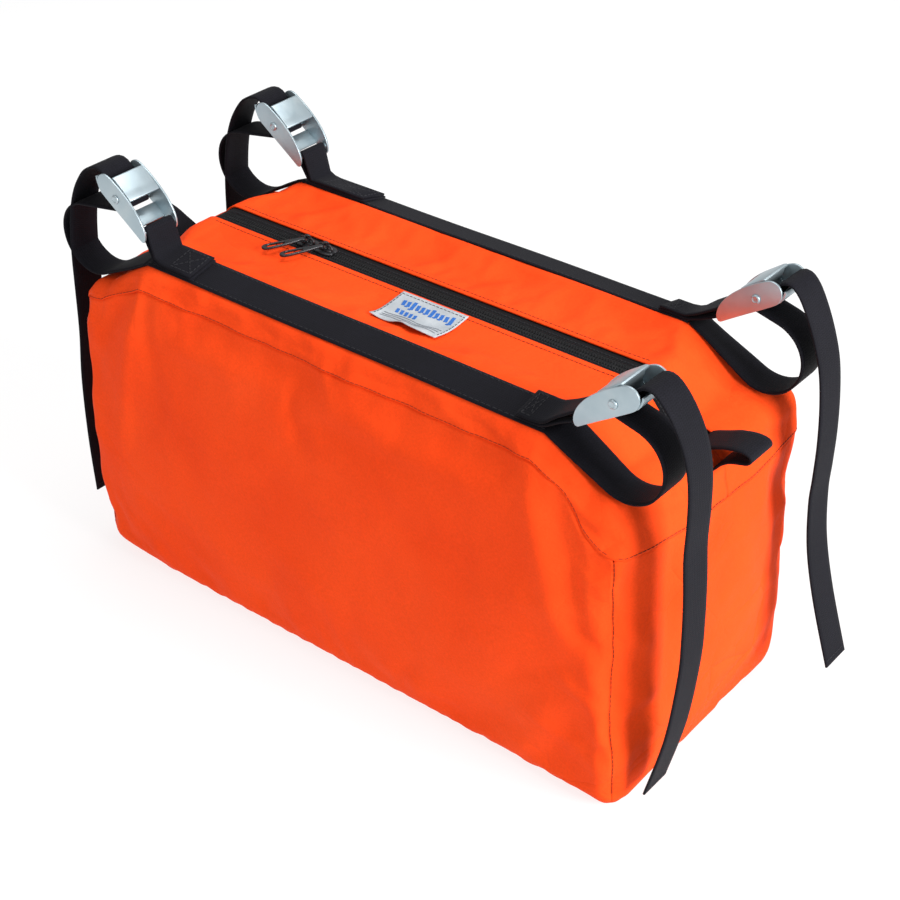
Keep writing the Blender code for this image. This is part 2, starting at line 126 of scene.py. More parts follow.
def bump(nt, height, strength, distance, normal=None):
    n = node(nt, "ShaderNodeBump", Strength=strength, Distance=distance)
    nt.links.new(height, n.inputs["Height"])
    if normal is not None:
        nt.links.new(normal, n.inputs["Normal"])
    return n.outputs["Normal"]


def object_coords(nt):
    return node(nt, "ShaderNodeTexCoord").outputs["Object"]


def uv_parts(nt):
    uv = node(nt, "ShaderNodeUVMap")
    uv.uv_map = "UVMap"
    s = nt.nodes.new("ShaderNodeSeparateXYZ")
    nt.links.new(uv.outputs["UV"], s.inputs[0])
    return s.outputs["X"], s.outputs["Y"], uv.outputs["UV"]


def fabric_material(name, dark, mid, light):
    """Coated nylon cloth: fine plain weave, soft crinkles, slight fading and creases."""
    m, nt, b = new_material(name)
    co = object_coords(nt)
    u, v, _ = uv_parts(nt)
    big = noise_tex(nt, co, 9.0, 3.0, 0.55, 0.3)
    col = ramp(nt, big, [(0.28, dark), (0.52, mid), (0.78, light)])
    wu = maths(nt, "SINE", maths(nt, "MULTIPLY", u, 2 * math.pi / 0.00105))
    wv = maths(nt, "SINE", maths(nt, "MULTIPLY", v, 2 * math.pi / 0.00105))
    weave = maths(nt, "MULTIPLY", wu, wv)
    fleck = noise_tex(nt, co, 620.0, 3.0, 0.7)
    tone = maths(nt, "ADD", mapped(nt, 0.955, 1.045, weave), mapped(nt, -0.15, 0.15, fleck))
    mix = node(nt, "ShaderNodeMix", data_type="RGBA", blend_type="MULTIPLY")
    mix.inputs["Factor"].default_value = 1.0
    nt.links.new(col, mix.inputs["A"])
    nt.links.new(tone, mix.inputs["B"])
    nt.links.new(mix.outputs["Result"], b.inputs["Base Color"])
    crink = noise_tex(nt, co, 48.0, 4.0, 0.6, 0.9)
    fine = noise_tex(nt, co, 170.0, 3.0, 0.6, 0.4)
    # sharp straight creases where the cloth has been folded: the edges of bent cells
    shift = node(nt, "ShaderNodeTexNoise", Scale=7.0, Detail=2.0, Roughness=0.5)
    nt.links.new(co, shift.inputs["Vector"])
    bent = node(nt, "ShaderNodeVectorMath", operation="MULTIPLY_ADD")
    nt.links.new(shift.outputs["Color"], bent.inputs[0])
    bent.inputs[1].default_value = (0.035, 0.035, 0.035)
    nt.links.new(co, bent.inputs[2])
    # most creased towards the two ends, where the straps pull and the corners are sewn
    sep = nt.nodes.new("ShaderNodeSeparateXYZ")
    nt.links.new(co, sep.inputs[0])
    away = maths(nt, "MULTIPLY_ADD", maths(nt, "ABSOLUTE", sep.outputs["X"]), 9.5, -1.15)
    away = mapped(nt, 0.16, 1.0, maths(nt, "MINIMUM", maths(nt, "MAXIMUM", away, 0.0), 1.0))
    nrm = None
    for scale, dist, patch in ((12.0, 0.0068, 13.0), (27.0, 0.0030, 22.0)):
        cell = node(nt, "ShaderNodeTexVoronoi", feature="DISTANCE_TO_EDGE", Scale=scale)
        nt.links.new(bent.outputs["Vector"], cell.inputs["Vector"])
        ridge = maths(nt, "POWER", cell.outputs["Distance"], 0.55)
        worn = maths(nt, "MINIMUM", mapped(nt, -2.0, 2.6, noise_tex(nt, co, patch, 1.0, 0.4)), 1.0)
        worn = maths(nt, "MULTIPLY", maths(nt, "MAXIMUM", worn, 0.0), away)
        nrm = bump(nt, maths(nt, "MULTIPLY", ridge, worn), 0.70, dist, nrm)
    nrm = bump(nt, crink, 0.42, 0.0019, nrm)
    nrm = bump(nt, fine, 0.30, 0.0006, nrm)
    nrm = bump(nt, weave, 0.30, 0.00012, nrm)
    nt.links.new(nrm, b.inputs["Normal"])
    nt.links.new(mapped(nt, 0.60, 0.76, noise_tex(nt, co, 30.0, 3.0, 0.6)), b.inputs["Roughness"])
    b.inputs["Specular IOR Level"].default_value = 0.04
    return m


def webbing_material(name, base, light, ribs=13.0, cross=0.0016):
    """Woven strap: fine twill ribs along it, cross threads, paler fuzz on the raised threads."""
    m, nt, b = new_material(name)
    co = object_coords(nt)
    u, v, _ = uv_parts(nt)
    rib = maths(nt, "ABSOLUTE", maths(nt, "SINE", maths(nt, "MULTIPLY", v, math.pi * ribs)))
    # chevron twill: the cross thread's phase runs up and down with the ribs
    zig = maths(nt, "PINGPONG", maths(nt, "MULTIPLY", v, ribs), 1.0)
    phase = maths(nt, "ADD", maths(nt, "MULTIPLY", u, 2 * math.pi / cross),
                  maths(nt, "MULTIPLY", zig, math.pi))
    thread = maths(nt, "MULTIPLY_ADD", maths(nt, "SINE", phase), 0.5, 0.5)
    height = maths(nt, "ADD", maths(nt, "MULTIPLY", rib, 0.4), maths(nt, "MULTIPLY", thread, 0.6))
    fuzz = noise_tex(nt, co, 520.0, 3.0, 0.7)
    blot = noise_tex(nt, co, 28.0, 3.0, 0.5)
    f = maths(nt, "ADD", maths(nt, "MULTIPLY", height, 0.28),
              maths(nt, "ADD", maths(nt, "MULTIPLY", fuzz, 0.62), maths(nt, "MULTIPLY", blot, 0.3)))
    col = ramp(nt, f, [(0.30, base), (0.72, tuple((a + c) / 2 for a, c in zip(base, light))),
                       (1.0, light)])
    nt.links.new(col, b.inputs["Base Color"])
    nrm = bump(nt, height, 0.45, 0.0003)
    nrm = bump(nt, fuzz, 0.25, 0.0003, nrm)
    nt.links.new(nrm, b.inputs["Normal"])
    nt.links.new(mapped(nt, 0.62, 0.86, fuzz), b.inputs["Roughness"])
    b.inputs["Specular IOR Level"].default_value = 0.10
    b.inputs["Sheen Weight"].default_value = 0.02
    b.inputs["Sheen Roughness"].default_value = 0.5
    return m


def zinc_material(name, tone=1.0, rough=(0.36, 0.50)):
    """Zinc plate: even cool grey metal with a faint clouding and fine rubbed lines."""
    m, nt, b = new_material(name)
    co = object_coords(nt)
    cloud = noise_tex(nt, co, 60.0, 3.0, 0.5, 0.4)
    col = ramp(nt, cloud, [(0.25, (0.37 * tone, 0.455 * tone, 0.50 * tone)),
                           (0.55, (0.43 * tone, 0.515 * tone, 0.555 * tone)),
                           (0.85, (0.52 * tone, 0.585 * tone, 0.61 * tone))])
    nt.links.new(col, b.inputs["Base Color"])
    b.inputs["Metallic"].default_value = 0.88
    scr = node(nt, "ShaderNodeMapping")
    scr.inputs["Scale"].default_value = (1.0, 0.12, 1.0)
    nt.links.new(co, scr.inputs["Vector"])
    fine = noise_tex(nt, scr.outputs["Vector"], 2400.0, 3.0, 0.7)
    nt.links.new(mapped(nt, rough[0], rough[1], cloud), b.inputs["Roughness"])
    nrm = bump(nt, cloud, 0.05, 0.0003)
    nrm = bump(nt, fine, 0.10, 0.0001, nrm)
    nt.links.new(nrm, b.inputs["Normal"])
    b.inputs["Anisotropic"].default_value = 0.2
    return m


def plain_material(name, base, light, rough=(0.35, 0.5), metal=0.0, scale=300.0, bumpy=0.1,
                   dist=0.0003, spec=0.5):
    m, nt, b = new_material(name)
    co = object_coords(nt)
    f = noise_tex(nt, co, scale, 3.0, 0.6)
    nt.links.new(ramp(nt, f, [(0.3, base), (0.8, light)]), b.inputs["Base Color"])
    nt.links.new(mapped(nt, rough[0], rough[1], f), b.inputs["Roughness"])
    nt.links.new(bump(nt, f, bumpy, dist), b.inputs["Normal"])
    b.inputs["Metallic"].default_value = metal
    b.inputs["Specular IOR Level"].default_value = spec
    return m


def label_material():
    """Woven label: pale grey satin with fine cross threads and a few soiled patches."""
    m, nt, b = new_material("label_cloth")
    co = object_coords(nt)
    u, v, _ = uv_parts(nt)
    thread = maths(nt, "SINE", maths(nt, "MULTIPLY", u, 2 * math.pi / 0.0009))
    cross = maths(nt, "SINE", maths(nt, "MULTIPLY", v, 2 * math.pi / 0.0007))
    weave = maths(nt, "MULTIPLY", thread, cross)
    blot = noise_tex(nt, co, 60.0, 4.0, 0.6)
    f = maths(nt, "MULTIPLY_ADD", weave, 0.12, blot)
    nt.links.new(ramp(nt, f, [(0.25, (0.30, 0.33, 0.36)), (0.55, (0.40, 0.43, 0.46)),
                              (0.85, (0.50, 0.53, 0.55))]), b.inputs["Base Color"])
    nt.links.new(bump(nt, weave, 0.25, 0.0001), b.inputs["Normal"])
    nt.links.new(mapped(nt, 0.45, 0.65, blot), b.inputs["Roughness"])
    b.inputs["Specular IOR Level"].default_value = 0.3
    return m


ORANGE = fabric_material("coated_nylon_orange", (0.86, 0.058, 0.008), (0.925, 0.069, 0.010),
                         (0.955, 0.080, 0.013))
BLACK = webbing_material("webbing_black", (0.0018, 0.0016, 0.0030), (0.0110, 0.0108, 0.0162))
ZINC = zinc_material("zinc_plate")
# the spring's zinc: the same plate darkened to 0.8 tone as painted shade for its place deep inside the
# buckle, and a little glossier
ZINC_PAINTED_SHADE = zinc_material("zinc_plate_painted_shade", 0.8, (0.2, 0.4))
TAPE = webbing_material("zip_tape_cloth", (0.0010, 0.0010, 0.0016), (0.0060, 0.0060, 0.0080), 12.0)
COIL = plain_material("zip_coil_nylon", (0.0010, 0.0010, 0.0014), (0.0032, 0.0032, 0.0044), (0.46, 0.6),
                      spec=0.20)
ENAMEL = plain_material("black_enamel", (0.006, 0.006, 0.007), (0.03, 0.03, 0.034), (0.2, 0.36),
                        0.3, 260.0, 0.15)
THREAD_DARK = plain_material("thread_dark", (0.075, 0.009, 0.003), (0.16, 0.020, 0.007), (0.6, 0.8),
                             0.0, 1500.0, 0.3, spec=0.2)
THREAD_ORANGE = plain_material("thread_orange", (0.23, 0.015, 0.003), (0.36, 0.027, 0.005), (0.6, 0.8),
                               0.0, 1500.0, 0.3, spec=0.2)
THREAD_BLACK = plain_material("thread_black", (0.006, 0.006, 0.008), (0.035, 0.035, 0.042),
                              (0.5, 0.7), 0.0, 1500.0, 0.3, spec=0.3)
THREAD_GREY = plain_material("thread_grey", (0.10, 0.11, 0.13), (0.22, 0.24, 0.27),
                             (0.5, 0.7), 0.0, 1500.0, 0.3, spec=0.3)
INK_BLUE = plain_material("label_blue", (0.012, 0.09, 0.36), (0.03, 0.16, 0.50), (0.5, 0.65),
                          0.0, 900.0, 0.3, spec=0.3)
LABEL_CLOTH = label_material()


# =============================================================== mesh helpers (mm in, m out)
def mesh_object(name, verts, faces, mat, smooth=True, uvs=None, loops_uv=None):
    me = bpy.data.meshes.new(name)
    me.from_pydata([(float(x) * MM, float(y) * MM, float(z) * MM) for x, y, z in verts], [],
                   [tuple(int(i) for i in f) for f in faces])
    me.update()
    if uvs is not None:
        layer = me.uv_layers.new(name="UVMap")
        flat = np.array([uvs[lp.vertex_index] for lp in me.loops], dtype=np.float32).ravel()
        layer.data.foreach_set("uv", flat)
    if loops_uv is not None:
        layer = me.uv_layers.new(name="UVMap")
        layer.data.foreach_set("uv", np.array(loops_uv, dtype=np.float32).ravel())
    me.polygons.foreach_set("use_smooth", [smooth] * len(me.polygons))
    me.materials.append(mat)
    ob = bpy.data.objects.new(name, me)
    SCENE.collection.objects.link(ob)
    return ob


def outward(ob):
    bm = bmesh.new()
    bm.from_mesh(ob.data)
    bmesh.ops.recalc_face_normals(bm, faces=bm.faces)
    bm.to_mesh(ob.data)
    bm.free()
    return ob


def apply_all(ob):
    bpy.context.view_layer.update()
    dg = bpy.context.evaluated_depsgraph_get()
    me = bpy.data.meshes.new_from_object(ob.evaluated_get(dg))
    ob.modifiers.clear()
    ob.data = me
    return ob


def catmull(pts, step):
    pts = [np.array(p, float) for p in pts]
    out = []
    for i in range(len(pts) - 1):
        p0, p1, p2, p3 = pts[max(i - 1, 0)], pts[i], pts[i + 1], pts[min(i + 2, len(pts) - 1)]
        k = max(1, int(round(np.linalg.norm(p2 - p1) / step)))
        for j in range(k):
            t = j / k
            out.append(0.5 * ((2 * p1) + (p2 - p0) * t + (2 * p0 - 5 * p1 + 4 * p2 - p3) * t * t
                              + (3 * p1 - p0 - 3 * p2 + p3) * t ** 3))
    out.append(pts[-1])
    return out


def smoothstep(a, b, x):
    t = min(max((x - a) / (b - a), 0.0), 1.0)
    return t * t * (3 - 2 * t)


# =============================================================== the bag's shell
ZIP_HALF = 11.0                 # half the width of the zip's opening in the top
ZIP_END = 231.0                 # the opening ends here, under the grab loops' roots
TILT = math.radians(13.0)       # how far the webbings lean outward on the rounded top
XS = np.linspace(-HX, HX, 97)
YS = np.concatenate([np.linspace(-HY, -ZIP_HALF, 19), np.linspace(-ZIP_HALF, ZIP_HALF, 5)[1:],
                     np.linspace(ZIP_HALF, HY, 19)[1:]])
MID = 20                        # the column of YS on the zip's centre line
K1, K2 = 38, 44                 # rows up to the seam under the top, and rows in all
FRONT_SEAM, RIGHT_SEAM, LEFT_SEAM = 0.957, 0.866, 0.950


def top_height(x, y):
    """The top's height: level between the webbings, falling away under the tubes at the ends."""
    ax, ay = abs(x), abs(y)
    web = min(ay / 77.0, 1.0)
    start = 184.0 - 17.0 * smoothstep(25.0, 62.0, ay)
    foot = 206.0 + 2.0 * (1 - web)
    low = -26.8
    t = (ax - start) / (foot - start)
    if t <= 0:
        z = 0.4
    elif t < 1:
        z = 0.4 + (low - 0.4) * (t ** 1.15)
    else:
        z = low - 7.0 * smoothstep(foot, HX, ax)
    # the cloth sags between the zip and the webbing, and leans outward under the webbing
    level = 1 - smoothstep(172, 206, ax)
    sag = 3.0 * math.sin(math.pi * min(max((ay - 10) / 52, 0), 1)) * (1 - smoothstep(150, 190, ax))
    lift = 12.7 * math.tan(TILT)
    if ay < 64.7:
        crest = lift * smoothstep(24.0, 64.7, ay)
    elif ay < 90.1:
        crest = (77.4 - ay) * math.tan(TILT)
    else:
        crest = -lift - (ay - 90.1) * 0.30
    return TZ + z - sag + crest * level


def wall_fraction(k, x, y):
    """Height share of row k: one row follows the seam below the top panels all round."""
    if abs(y) > HY - 0.1:
        s = (FRONT_SEAM + (RIGHT_SEAM - FRONT_SEAM) * smoothstep(196.0, HX - 4, x)
             + (LEFT_SEAM - FRONT_SEAM) * smoothstep(196.0, HX - 4, -x))
    elif x > 0:
        s = RIGHT_SEAM - 0.006 * math.cos(y / HY * math.pi / 2)
    else:
        s = LEFT_SEAM - 0.045 * math.cos(y / HY * math.pi / 2)
    if k <= K1:
        return s * k / K1
    return s + (1 - s) * (k - K1) / (K2 - K1)


def round_box(x, y, z):
    """A point of the plain box, moved onto the box with rounded edges and leaning corners."""
    r = 15.0
    r_top = 13.0
    rr = r + (r_top - r) * (z / H0)
    if z < 80:                     # the lower front left corner is the softest
        rr += 12.0 * (1 - z / 80) * smoothstep(150, HX, -x) * smoothstep(30, HY, -y)
    ix = min(max(x, -(HX - rr)), HX - rr)
    iy = min(max(y, -(HY - rr)), HY - rr)
    iz = min(max(z, rr), H0 - rr)
    d = np.array([x - ix, y - iy, z - iz])
    n = np.linalg.norm(d)
    p = np.array([ix, iy, iz]) + (d / n * rr if n > 1e-6 else 0)
    px, py, pz = p
    h = pz / H0
    # the front corners lean in towards the top
    lean = 13.0 * h ** 1.4 * smoothstep(0.2, 1.0, -py / HY) + 3.0 * h ** 1.5 * smoothstep(0.2, 1.0, py / HY)
    px *= 1 - lean / HX * smoothstep(120, HX, abs(px))
    py *= 1 - 0.035 * smoothstep(0.86, 1.0, h) - 0.02 * (1 - smoothstep(0.0, 0.3, h))
    pz = pz * top_height(px, py) / H0
    return px, py, pz


def build_shell():
    verts, index = [], {}

    def vert(x, y, z):
        key = (round(x, 4), round(y, 4), round(z, 4))
        if key not in index:
            index[key] = len(verts)
            verts.append(round_box(x, y, z))
        return index[key]

    ring = ([(x, -HY) for x in XS[:-1]] + [(HX, y) for y in YS[:-1]]
            + [(x, HY) for x in XS[::-1][:-1]] + [(-HX, y) for y in YS[::-1][:-1]])
    walls = [[vert(x, y, H0 * wall_fraction(k, x, y)) for k in range(K2 + 1)] for x, y in ring]
    faces, tags, uvs = [], [], []
    run = 0.0
    for i, (x, y) in enumerate(ring):
        j = (i + 1) % len(ring)
        x2, y2 = ring[j]
        if y == -HY and x < HX:
            side = "front_panel"
        elif x == HX and y < HY:
            side = "end_panel_right"
        elif y == HY and x > -HX:
            side = "back_panel"
        else:
            side = "end_panel_left"
        step = math.hypot(x2 - x, y2 - y)
        for k in range(K2):
            faces.append((walls[i][k], walls[j][k], walls[j][k + 1], walls[i][k + 1]))
            mx, my = (x + x2) / 2, (y + y2) / 2
            if k >= K1:
                tags.append("top_panel_front" if my < 0 else "top_panel_back")
            else:
                tags.append(side)
            za, zb = H0 * k / K2, H0 * (k + 1) / K2
            uvs.append(((run, za), (run + step, za), (run + step, zb), (run, zb)))
        run += step
    for z, sign in ((H0, 1), (0.0, -1)):
        grid = [[vert(x, y, z) for y in YS] for x in XS]
        if sign > 0:
            top_grid = grid
        for i in range(len(XS) - 1):
            for j in range(len(YS) - 1):
                f = (grid[i][j], grid[i + 1][j], grid[i + 1][j + 1], grid[i][j + 1])
                my = (YS[j] + YS[j + 1]) / 2
                uv = ((XS[i], YS[j]), (XS[i + 1], YS[j]), (XS[i + 1], YS[j + 1]), (XS[i], YS[j + 1]))
                if sign < 0:
                    f, uv = f[::-1], uv[::-1]
                    tags.append("bottom_panel")
                elif abs(my) < ZIP_HALF and abs(XS[i] + XS[i + 1]) / 2 < ZIP_END:
                    # the zip's strip is left out of the top panels
                    tags.append("strip_front" if my < 0 else "strip_back")
                else:
                    tags.append("top_panel_front" if my < 0 else "top_panel_back")
                faces.append(f)
                uvs.append(uv)
    return np.array(verts), faces, tags, uvs, ring, walls, top_grid


shell_v, shell_f, shell_tags, shell_uv, ring, walls, top_grid = build_shell()


def pin_weights(v):
    w = np.zeros(len(v))
    for i, (x, y, z) in enumerate(v):
        ax, ay = abs(x), abs(y)
        top = z > top_height(x, y) - 7
        if top and 62 < ay < 92 and ax < 215:
            w[i] = 1.0
        elif top and ay < 17:
            w[i] = 1.0
        elif top and ax > 192:
            w[i] = 0.55
        elif z < 1.5:
            w[i] = 1.0
        elif z < 9:
            w[i] = 0.35
        elif ax > 205 and ay > 84:
            w[i] = 0.06
    return w


def simulate_shell(v, faces):
    """Cloth cut a little too large for its frame: it buckles into soft folds and sags."""
    ob = mesh_object("cloth_work", v, faces, ORANGE)
    g = ob.vertex_groups.new(name="pin")
    for i, w in enumerate(pin_weights(v)):
        if w > 0:
            g.add([i], float(w), "REPLACE")
    md = ob.modifiers.new("Cloth", "CLOTH")
    st = md.settings
    st.quality = 6
    st.mass = 0.00035
    st.tension_stiffness = 18
    st.compression_stiffness = 14
    st.shear_stiffness = 6
    st.bending_stiffness = 0.35
    st.tension_damping = st.compression_damping = 6
    st.air_damping = 1.5
    st.vertex_group_mass = "pin"
    st.pin_stiffness = 1.0
    st.shrink_min = -0.016
    st.use_pressure = True
    st.uniform_pressure_force = 0.38
    md.collision_settings.use_collision = False
    st.effector_weights.gravity = 0.6
    md.point_cache.frame_start, md.point_cache.frame_end = 1, 40
    for f in range(1, 31):
        SCENE.frame_set(f)
    dg = bpy.context.evaluated_depsgraph_get()
    me = ob.evaluated_get(dg).to_mesh()
    out = np.empty(len(me.vertices) * 3)
    me.vertices.foreach_get("co", out)
    out = out.reshape(-1, 3) / MM
    ob.evaluated_get(dg).to_mesh_clear()
    bpy.data.objects.remove(ob, do_unlink=True)
    SCENE.frame_set(1)
    d = out - v
    n = np.linalg.norm(d, axis=1)
    print("cloth moved: mean %.2f max %.2f mm" % (n.mean(), n.max()))
    cap = 7.0
    d *= (np.where(n > 1e-9, cap * np.tanh(n / cap) / np.maximum(n, 1e-9), 0))[:, None]
    return v + d


shell_v = simulate_shell(shell_v, shell_f)


def fold(p, a, b, width, height):
    """A soft fold along the line a to b: its height at p, fading out at both ends."""
    ax, ay, bx, by = *a, *b
    dx, dy = bx - ax, by - ay
    n = math.hypot(dx, dy)
    t = ((p[0] - ax) * dx + (p[1] - ay) * dy) / (n * n)
    d = ((p[0] - ax) * dy - (p[1] - ay) * dx) / n
    if t < -0.15 or t > 1.15:
        return 0.0
    fade = smoothstep(-0.15, 0.2, t) * smoothstep(1.15, 0.75, t)
    w = width * (0.7 + 0.6 * t)
    # a rounded ridge on one side and a steeper fall on the other, as pulled cloth folds
    w *= 1.25 if d > 0 else 0.8
    return height * fade / (1 + (d / w) ** 4 + 0.6 * (d / w) ** 2)


# folds drawn in each face: (from, to, half width, height), in mm
RIGHT_FOLDS = [((-90, 198), (-84, 40), 8, -1.9), ((-72, 200), (-66, 60), 9, 2.0),
               ((-54, 192), (-50, 40), 8, -2.2), ((-36, 190), (-52, 30), 9, 1.6),
               ((-98, 150), (-72, 128), 5, 1.8), ((-98, 104), (-66, 82), 5, 1.5),
               ((-96, 66), (-60, 80), 5, -1.5), ((-98, 40), (-50, 60), 6, 1.6),
               ((16, 186), (48, 80), 12, 1.8), ((-14, 188), (6, 110), 10, -1.4),
               ((60, 190), (84, 100), 8, -2.2), ((86, 176), (94, 60), 6, 1.8),
               ((-50, 16), (64, 60), 11, 1.6), ((-30, 92), (66, 118), 9, -1.4),
               ((30, 34), (88, 66), 8, 1.5), ((90, 150), (60, 130), 5, 1.3),
               ((94, 90), (50, 104), 6, -1.3), ((-20, 150), (60, 166), 8, 0.9)]
LEFT_FOLDS = [((-90, 210), (-84, 60), 8, 2.2), ((-60, 206), (-40, 80), 10, -2.0),
              ((60, 208), (40, 60), 10, 2.0), ((88, 200), (80, 90), 7, -2.0),
              ((-60, 30), (60, 60), 12, 1.4)]
FRONT_FOLDS = [((-168, 250), (-192, 110), 8, 2.4), ((-182, 240), (-226, 140), 7, -2.4),
               ((-160, 246), (-146, 150), 7, -1.6), ((-228, 216), (-214, 50), 7, 2.0),
               ((-140, 248), (-126, 196), 6, 0.5), ((-30, 250), (-22, 205), 8, 0.3),
               ((70, 250), (58, 196), 8, -0.3), ((118, 250), (128, 206), 7, 0.5),
               ((168, 240), (200, 124), 8, 2.6), ((188, 228), (222, 120), 6, -3.0),
               ((212, 206), (226, 56), 5, 2.4), ((196, 190), (232, 176), 4, 2.2),
               ((198, 150), (233, 126), 4, -2.2), ((194, 106), (232, 84), 4, 2.4),
               ((206, 62), (234, 50), 4, -2.0), ((150, 142), (214, 160), 5, 1.8),
               ((158, 84), (214, 118), 5, -1.8), ((176, 60), (230, 34), 4, 1.8),
               ((-222, 60), (-150, 12), 9, 2.2), ((-180, 74), (-50, 24), 11, -1.4),
               ((-60, 96), (60, 40), 12, 1.0), ((150, 44), (226, 96), 9, 1.8),
               ((40, 34), (180, 20), 8, 1.3), ((-230, 120), (-190, 96), 7, 1.4)]
BACK_FOLDS = [((-170, 244), (-190, 120), 8, 1.8), ((168, 242), (200, 130), 9, 1.8),
              ((0, 240), (10, 150), 12, 1.0), ((-90, 60), (60, 30), 12, 1.2),
              ((-226, 200), (-214, 60), 7, 1.5), ((214, 206), (226, 60), 6, 1.6)]
TOP_FOLDS = [((-170, 58), (-118, 18), 7, 1.6), ((-172, -58), (-126, -18), 7, 1.4),
             ((170, 58), (126, 18), 7, 1.5), ((170, -58), (130, -18), 7, 1.4),
             ((-96, 60), (-70, 24), 8, 0.9), ((-20, 24), (10, 62), 9, 0.8),
             ((76, 60), (104, 22), 8, -0.9), ((40, -60), (66, -22), 8, 0.8),
             ((-80, -60), (-52, -24), 8, -0.8)]


def crease_shell(v):
    """Adds the drawn folds and a fine unevenness to the shell, square to each face."""
    out = v.copy()
    for i, (x, y, z) in enumerate(v):
        top = top_height(x, y)
        up = smoothstep(2.0, 26.0, z) * smoothstep(4.0, 20.0, top - z)
        wob = noise.noise(Vector((x, y, z)) * 0.017) * 1.6 + noise.noise(Vector((x, y, z)) * 0.045) * 0.7
        if x > HX - 22:
            k = smoothstep(HX - 22, HX - 6, x) * up
            out[i, 0] += k * (wob + sum(fold((y, z), *f) for f in RIGHT_FOLDS))
        if x < -HX + 22:
            k = smoothstep(HX - 22, HX - 6, -x) * up
            out[i, 0] -= k * (wob + sum(fold((y, z), *f) for f in LEFT_FOLDS))
        if y < -HY + 22:
            k = smoothstep(HY - 22, HY - 8, -y) * up
            pucker = 0.55 * math.sin(x / 4.1 + 1.7 * math.sin(x / 23.0)) * smoothstep(34, 16, top - z)
            out[i, 1] -= k * (wob + pucker + sum(fold((x, z), *f) for f in FRONT_FOLDS))
        if y > HY - 22:
            k = smoothstep(HY - 22, HY - 8, y) * up
            out[i, 1] += k * (wob + sum(fold((x, z), *f) for f in BACK_FOLDS))
        if top - z < 6 and 15 < abs(y) < 64 and abs(x) < 200:
            k = smoothstep(15, 22, abs(y)) * smoothstep(64, 56, abs(y))
            out[i, 2] += k * (wob * 0.5 + sum(fold((x, y), *f) for f in TOP_FOLDS))
    return out


shell_v = crease_shell(shell_v)
shell_v[:, 2] = np.maximum(shell_v[:, 2], 0.0)
for i, (x, y, z) in enumerate(shell_v):
    # beside the zip's front edge the cloth stays low, so the long pulls ride over it
    rise = z - top_height(x, y) - 0.1
    if rise > 0 and abs(x) < 200:
        k = smoothstep(-52, -40, y) * smoothstep(-9, -12, y) * smoothstep(200, 180, abs(x))
        shell_v[i, 2] = z - 0.9 * k * rise


def vertex_normals(v, faces):
    n = np.zeros_like(v)
    f = np.array(faces)
    fn = np.cross(v[f[:, 2]] - v[f[:, 0]], v[f[:, 3]] - v[f[:, 1]])
    for j in range(4):
        np.add.at(n, f[:, j], fn)
    return n / np.maximum(np.linalg.norm(n, axis=1), 1e-9)[:, None]


shell_n = vertex_normals(shell_v, shell_f)


def place(ob, body, nodes=()):
    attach(ob, body)
    if nodes:
        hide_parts(*nodes)
    return ob


def panel_object(name, keep, mat, thick, offset, drop=0.0, uv_of=None):
    """Some of the shell's faces as one sewn panel with a thickness, moved inward by drop."""
    used, faces, loop_uv = {}, [], []
    verts = []
    for i in keep:
        f = []
        for a in shell_f[i]:
            if a not in used:
                used[a] = len(verts)
                verts.append(shell_v[a] - shell_n[a] * drop)
            f.append(used[a])
        faces.append(f)
        if uv_of is None:
            loop_uv += [(a * MM, b * MM) for a, b in shell_uv[i]]
        else:
            loop_uv += [uv_of(shell_v[a]) for a in shell_f[i]]
    ob = mesh_object(name, verts, faces, mat, loops_uv=loop_uv)
    s = ob.modifiers.new("smooth", "SUBSURF")
    s.levels = s.render_levels = 1
    t = ob.modifiers.new("thick", "SOLIDIFY")
    t.thickness = thick * MM
    t.offset = offset
    t.use_even_offset = False
    apply_all(ob)
    for p in ob.data.polygons:
        p.use_smooth = True
    return ob


cloth_parts = []
for tag in ("front_panel", "back_panel", "end_panel_left", "end_panel_right", "bottom_panel"):
    ob = panel_object(tag.replace("panel", "cloth"), [i for i, t in enumerate(shell_tags) if t == tag],
                      ORANGE, 0.9, -1.0)
    cloth_parts.append(place(ob, "bag", [tag]))
for tag in ("top_panel_front", "top_panel_back"):
    ob = panel_object(tag.replace("panel", "cloth"), [i for i, t in enumerate(shell_tags) if t == tag],
                      ORANGE, 1.1, 0.2)
    cloth_parts.append(place(ob, "bag", [tag]))


def joined_bvh(objects):
    verts, faces = [], []
    for ob in objects:
        base = len(verts)
        verts += [v.co / MM for v in ob.data.vertices]
        faces += [tuple(base + i for i in p.vertices) for p in ob.data.polygons]
    return BVHTree.FromPolygons(verts, faces)


cloth_bvh = joined_bvh(cloth_parts)


def on_cloth(p, direction):
    """The outer face of the cloth met from p along direction, and its outward normal there."""
    d = Vector(direction).normalized()
    hit, n, _, _ = cloth_bvh.ray_cast(Vector(p), d)
    if hit is None:
        return Vector(p), -d
    return hit, (-n if n.dot(d) > 0 else n)


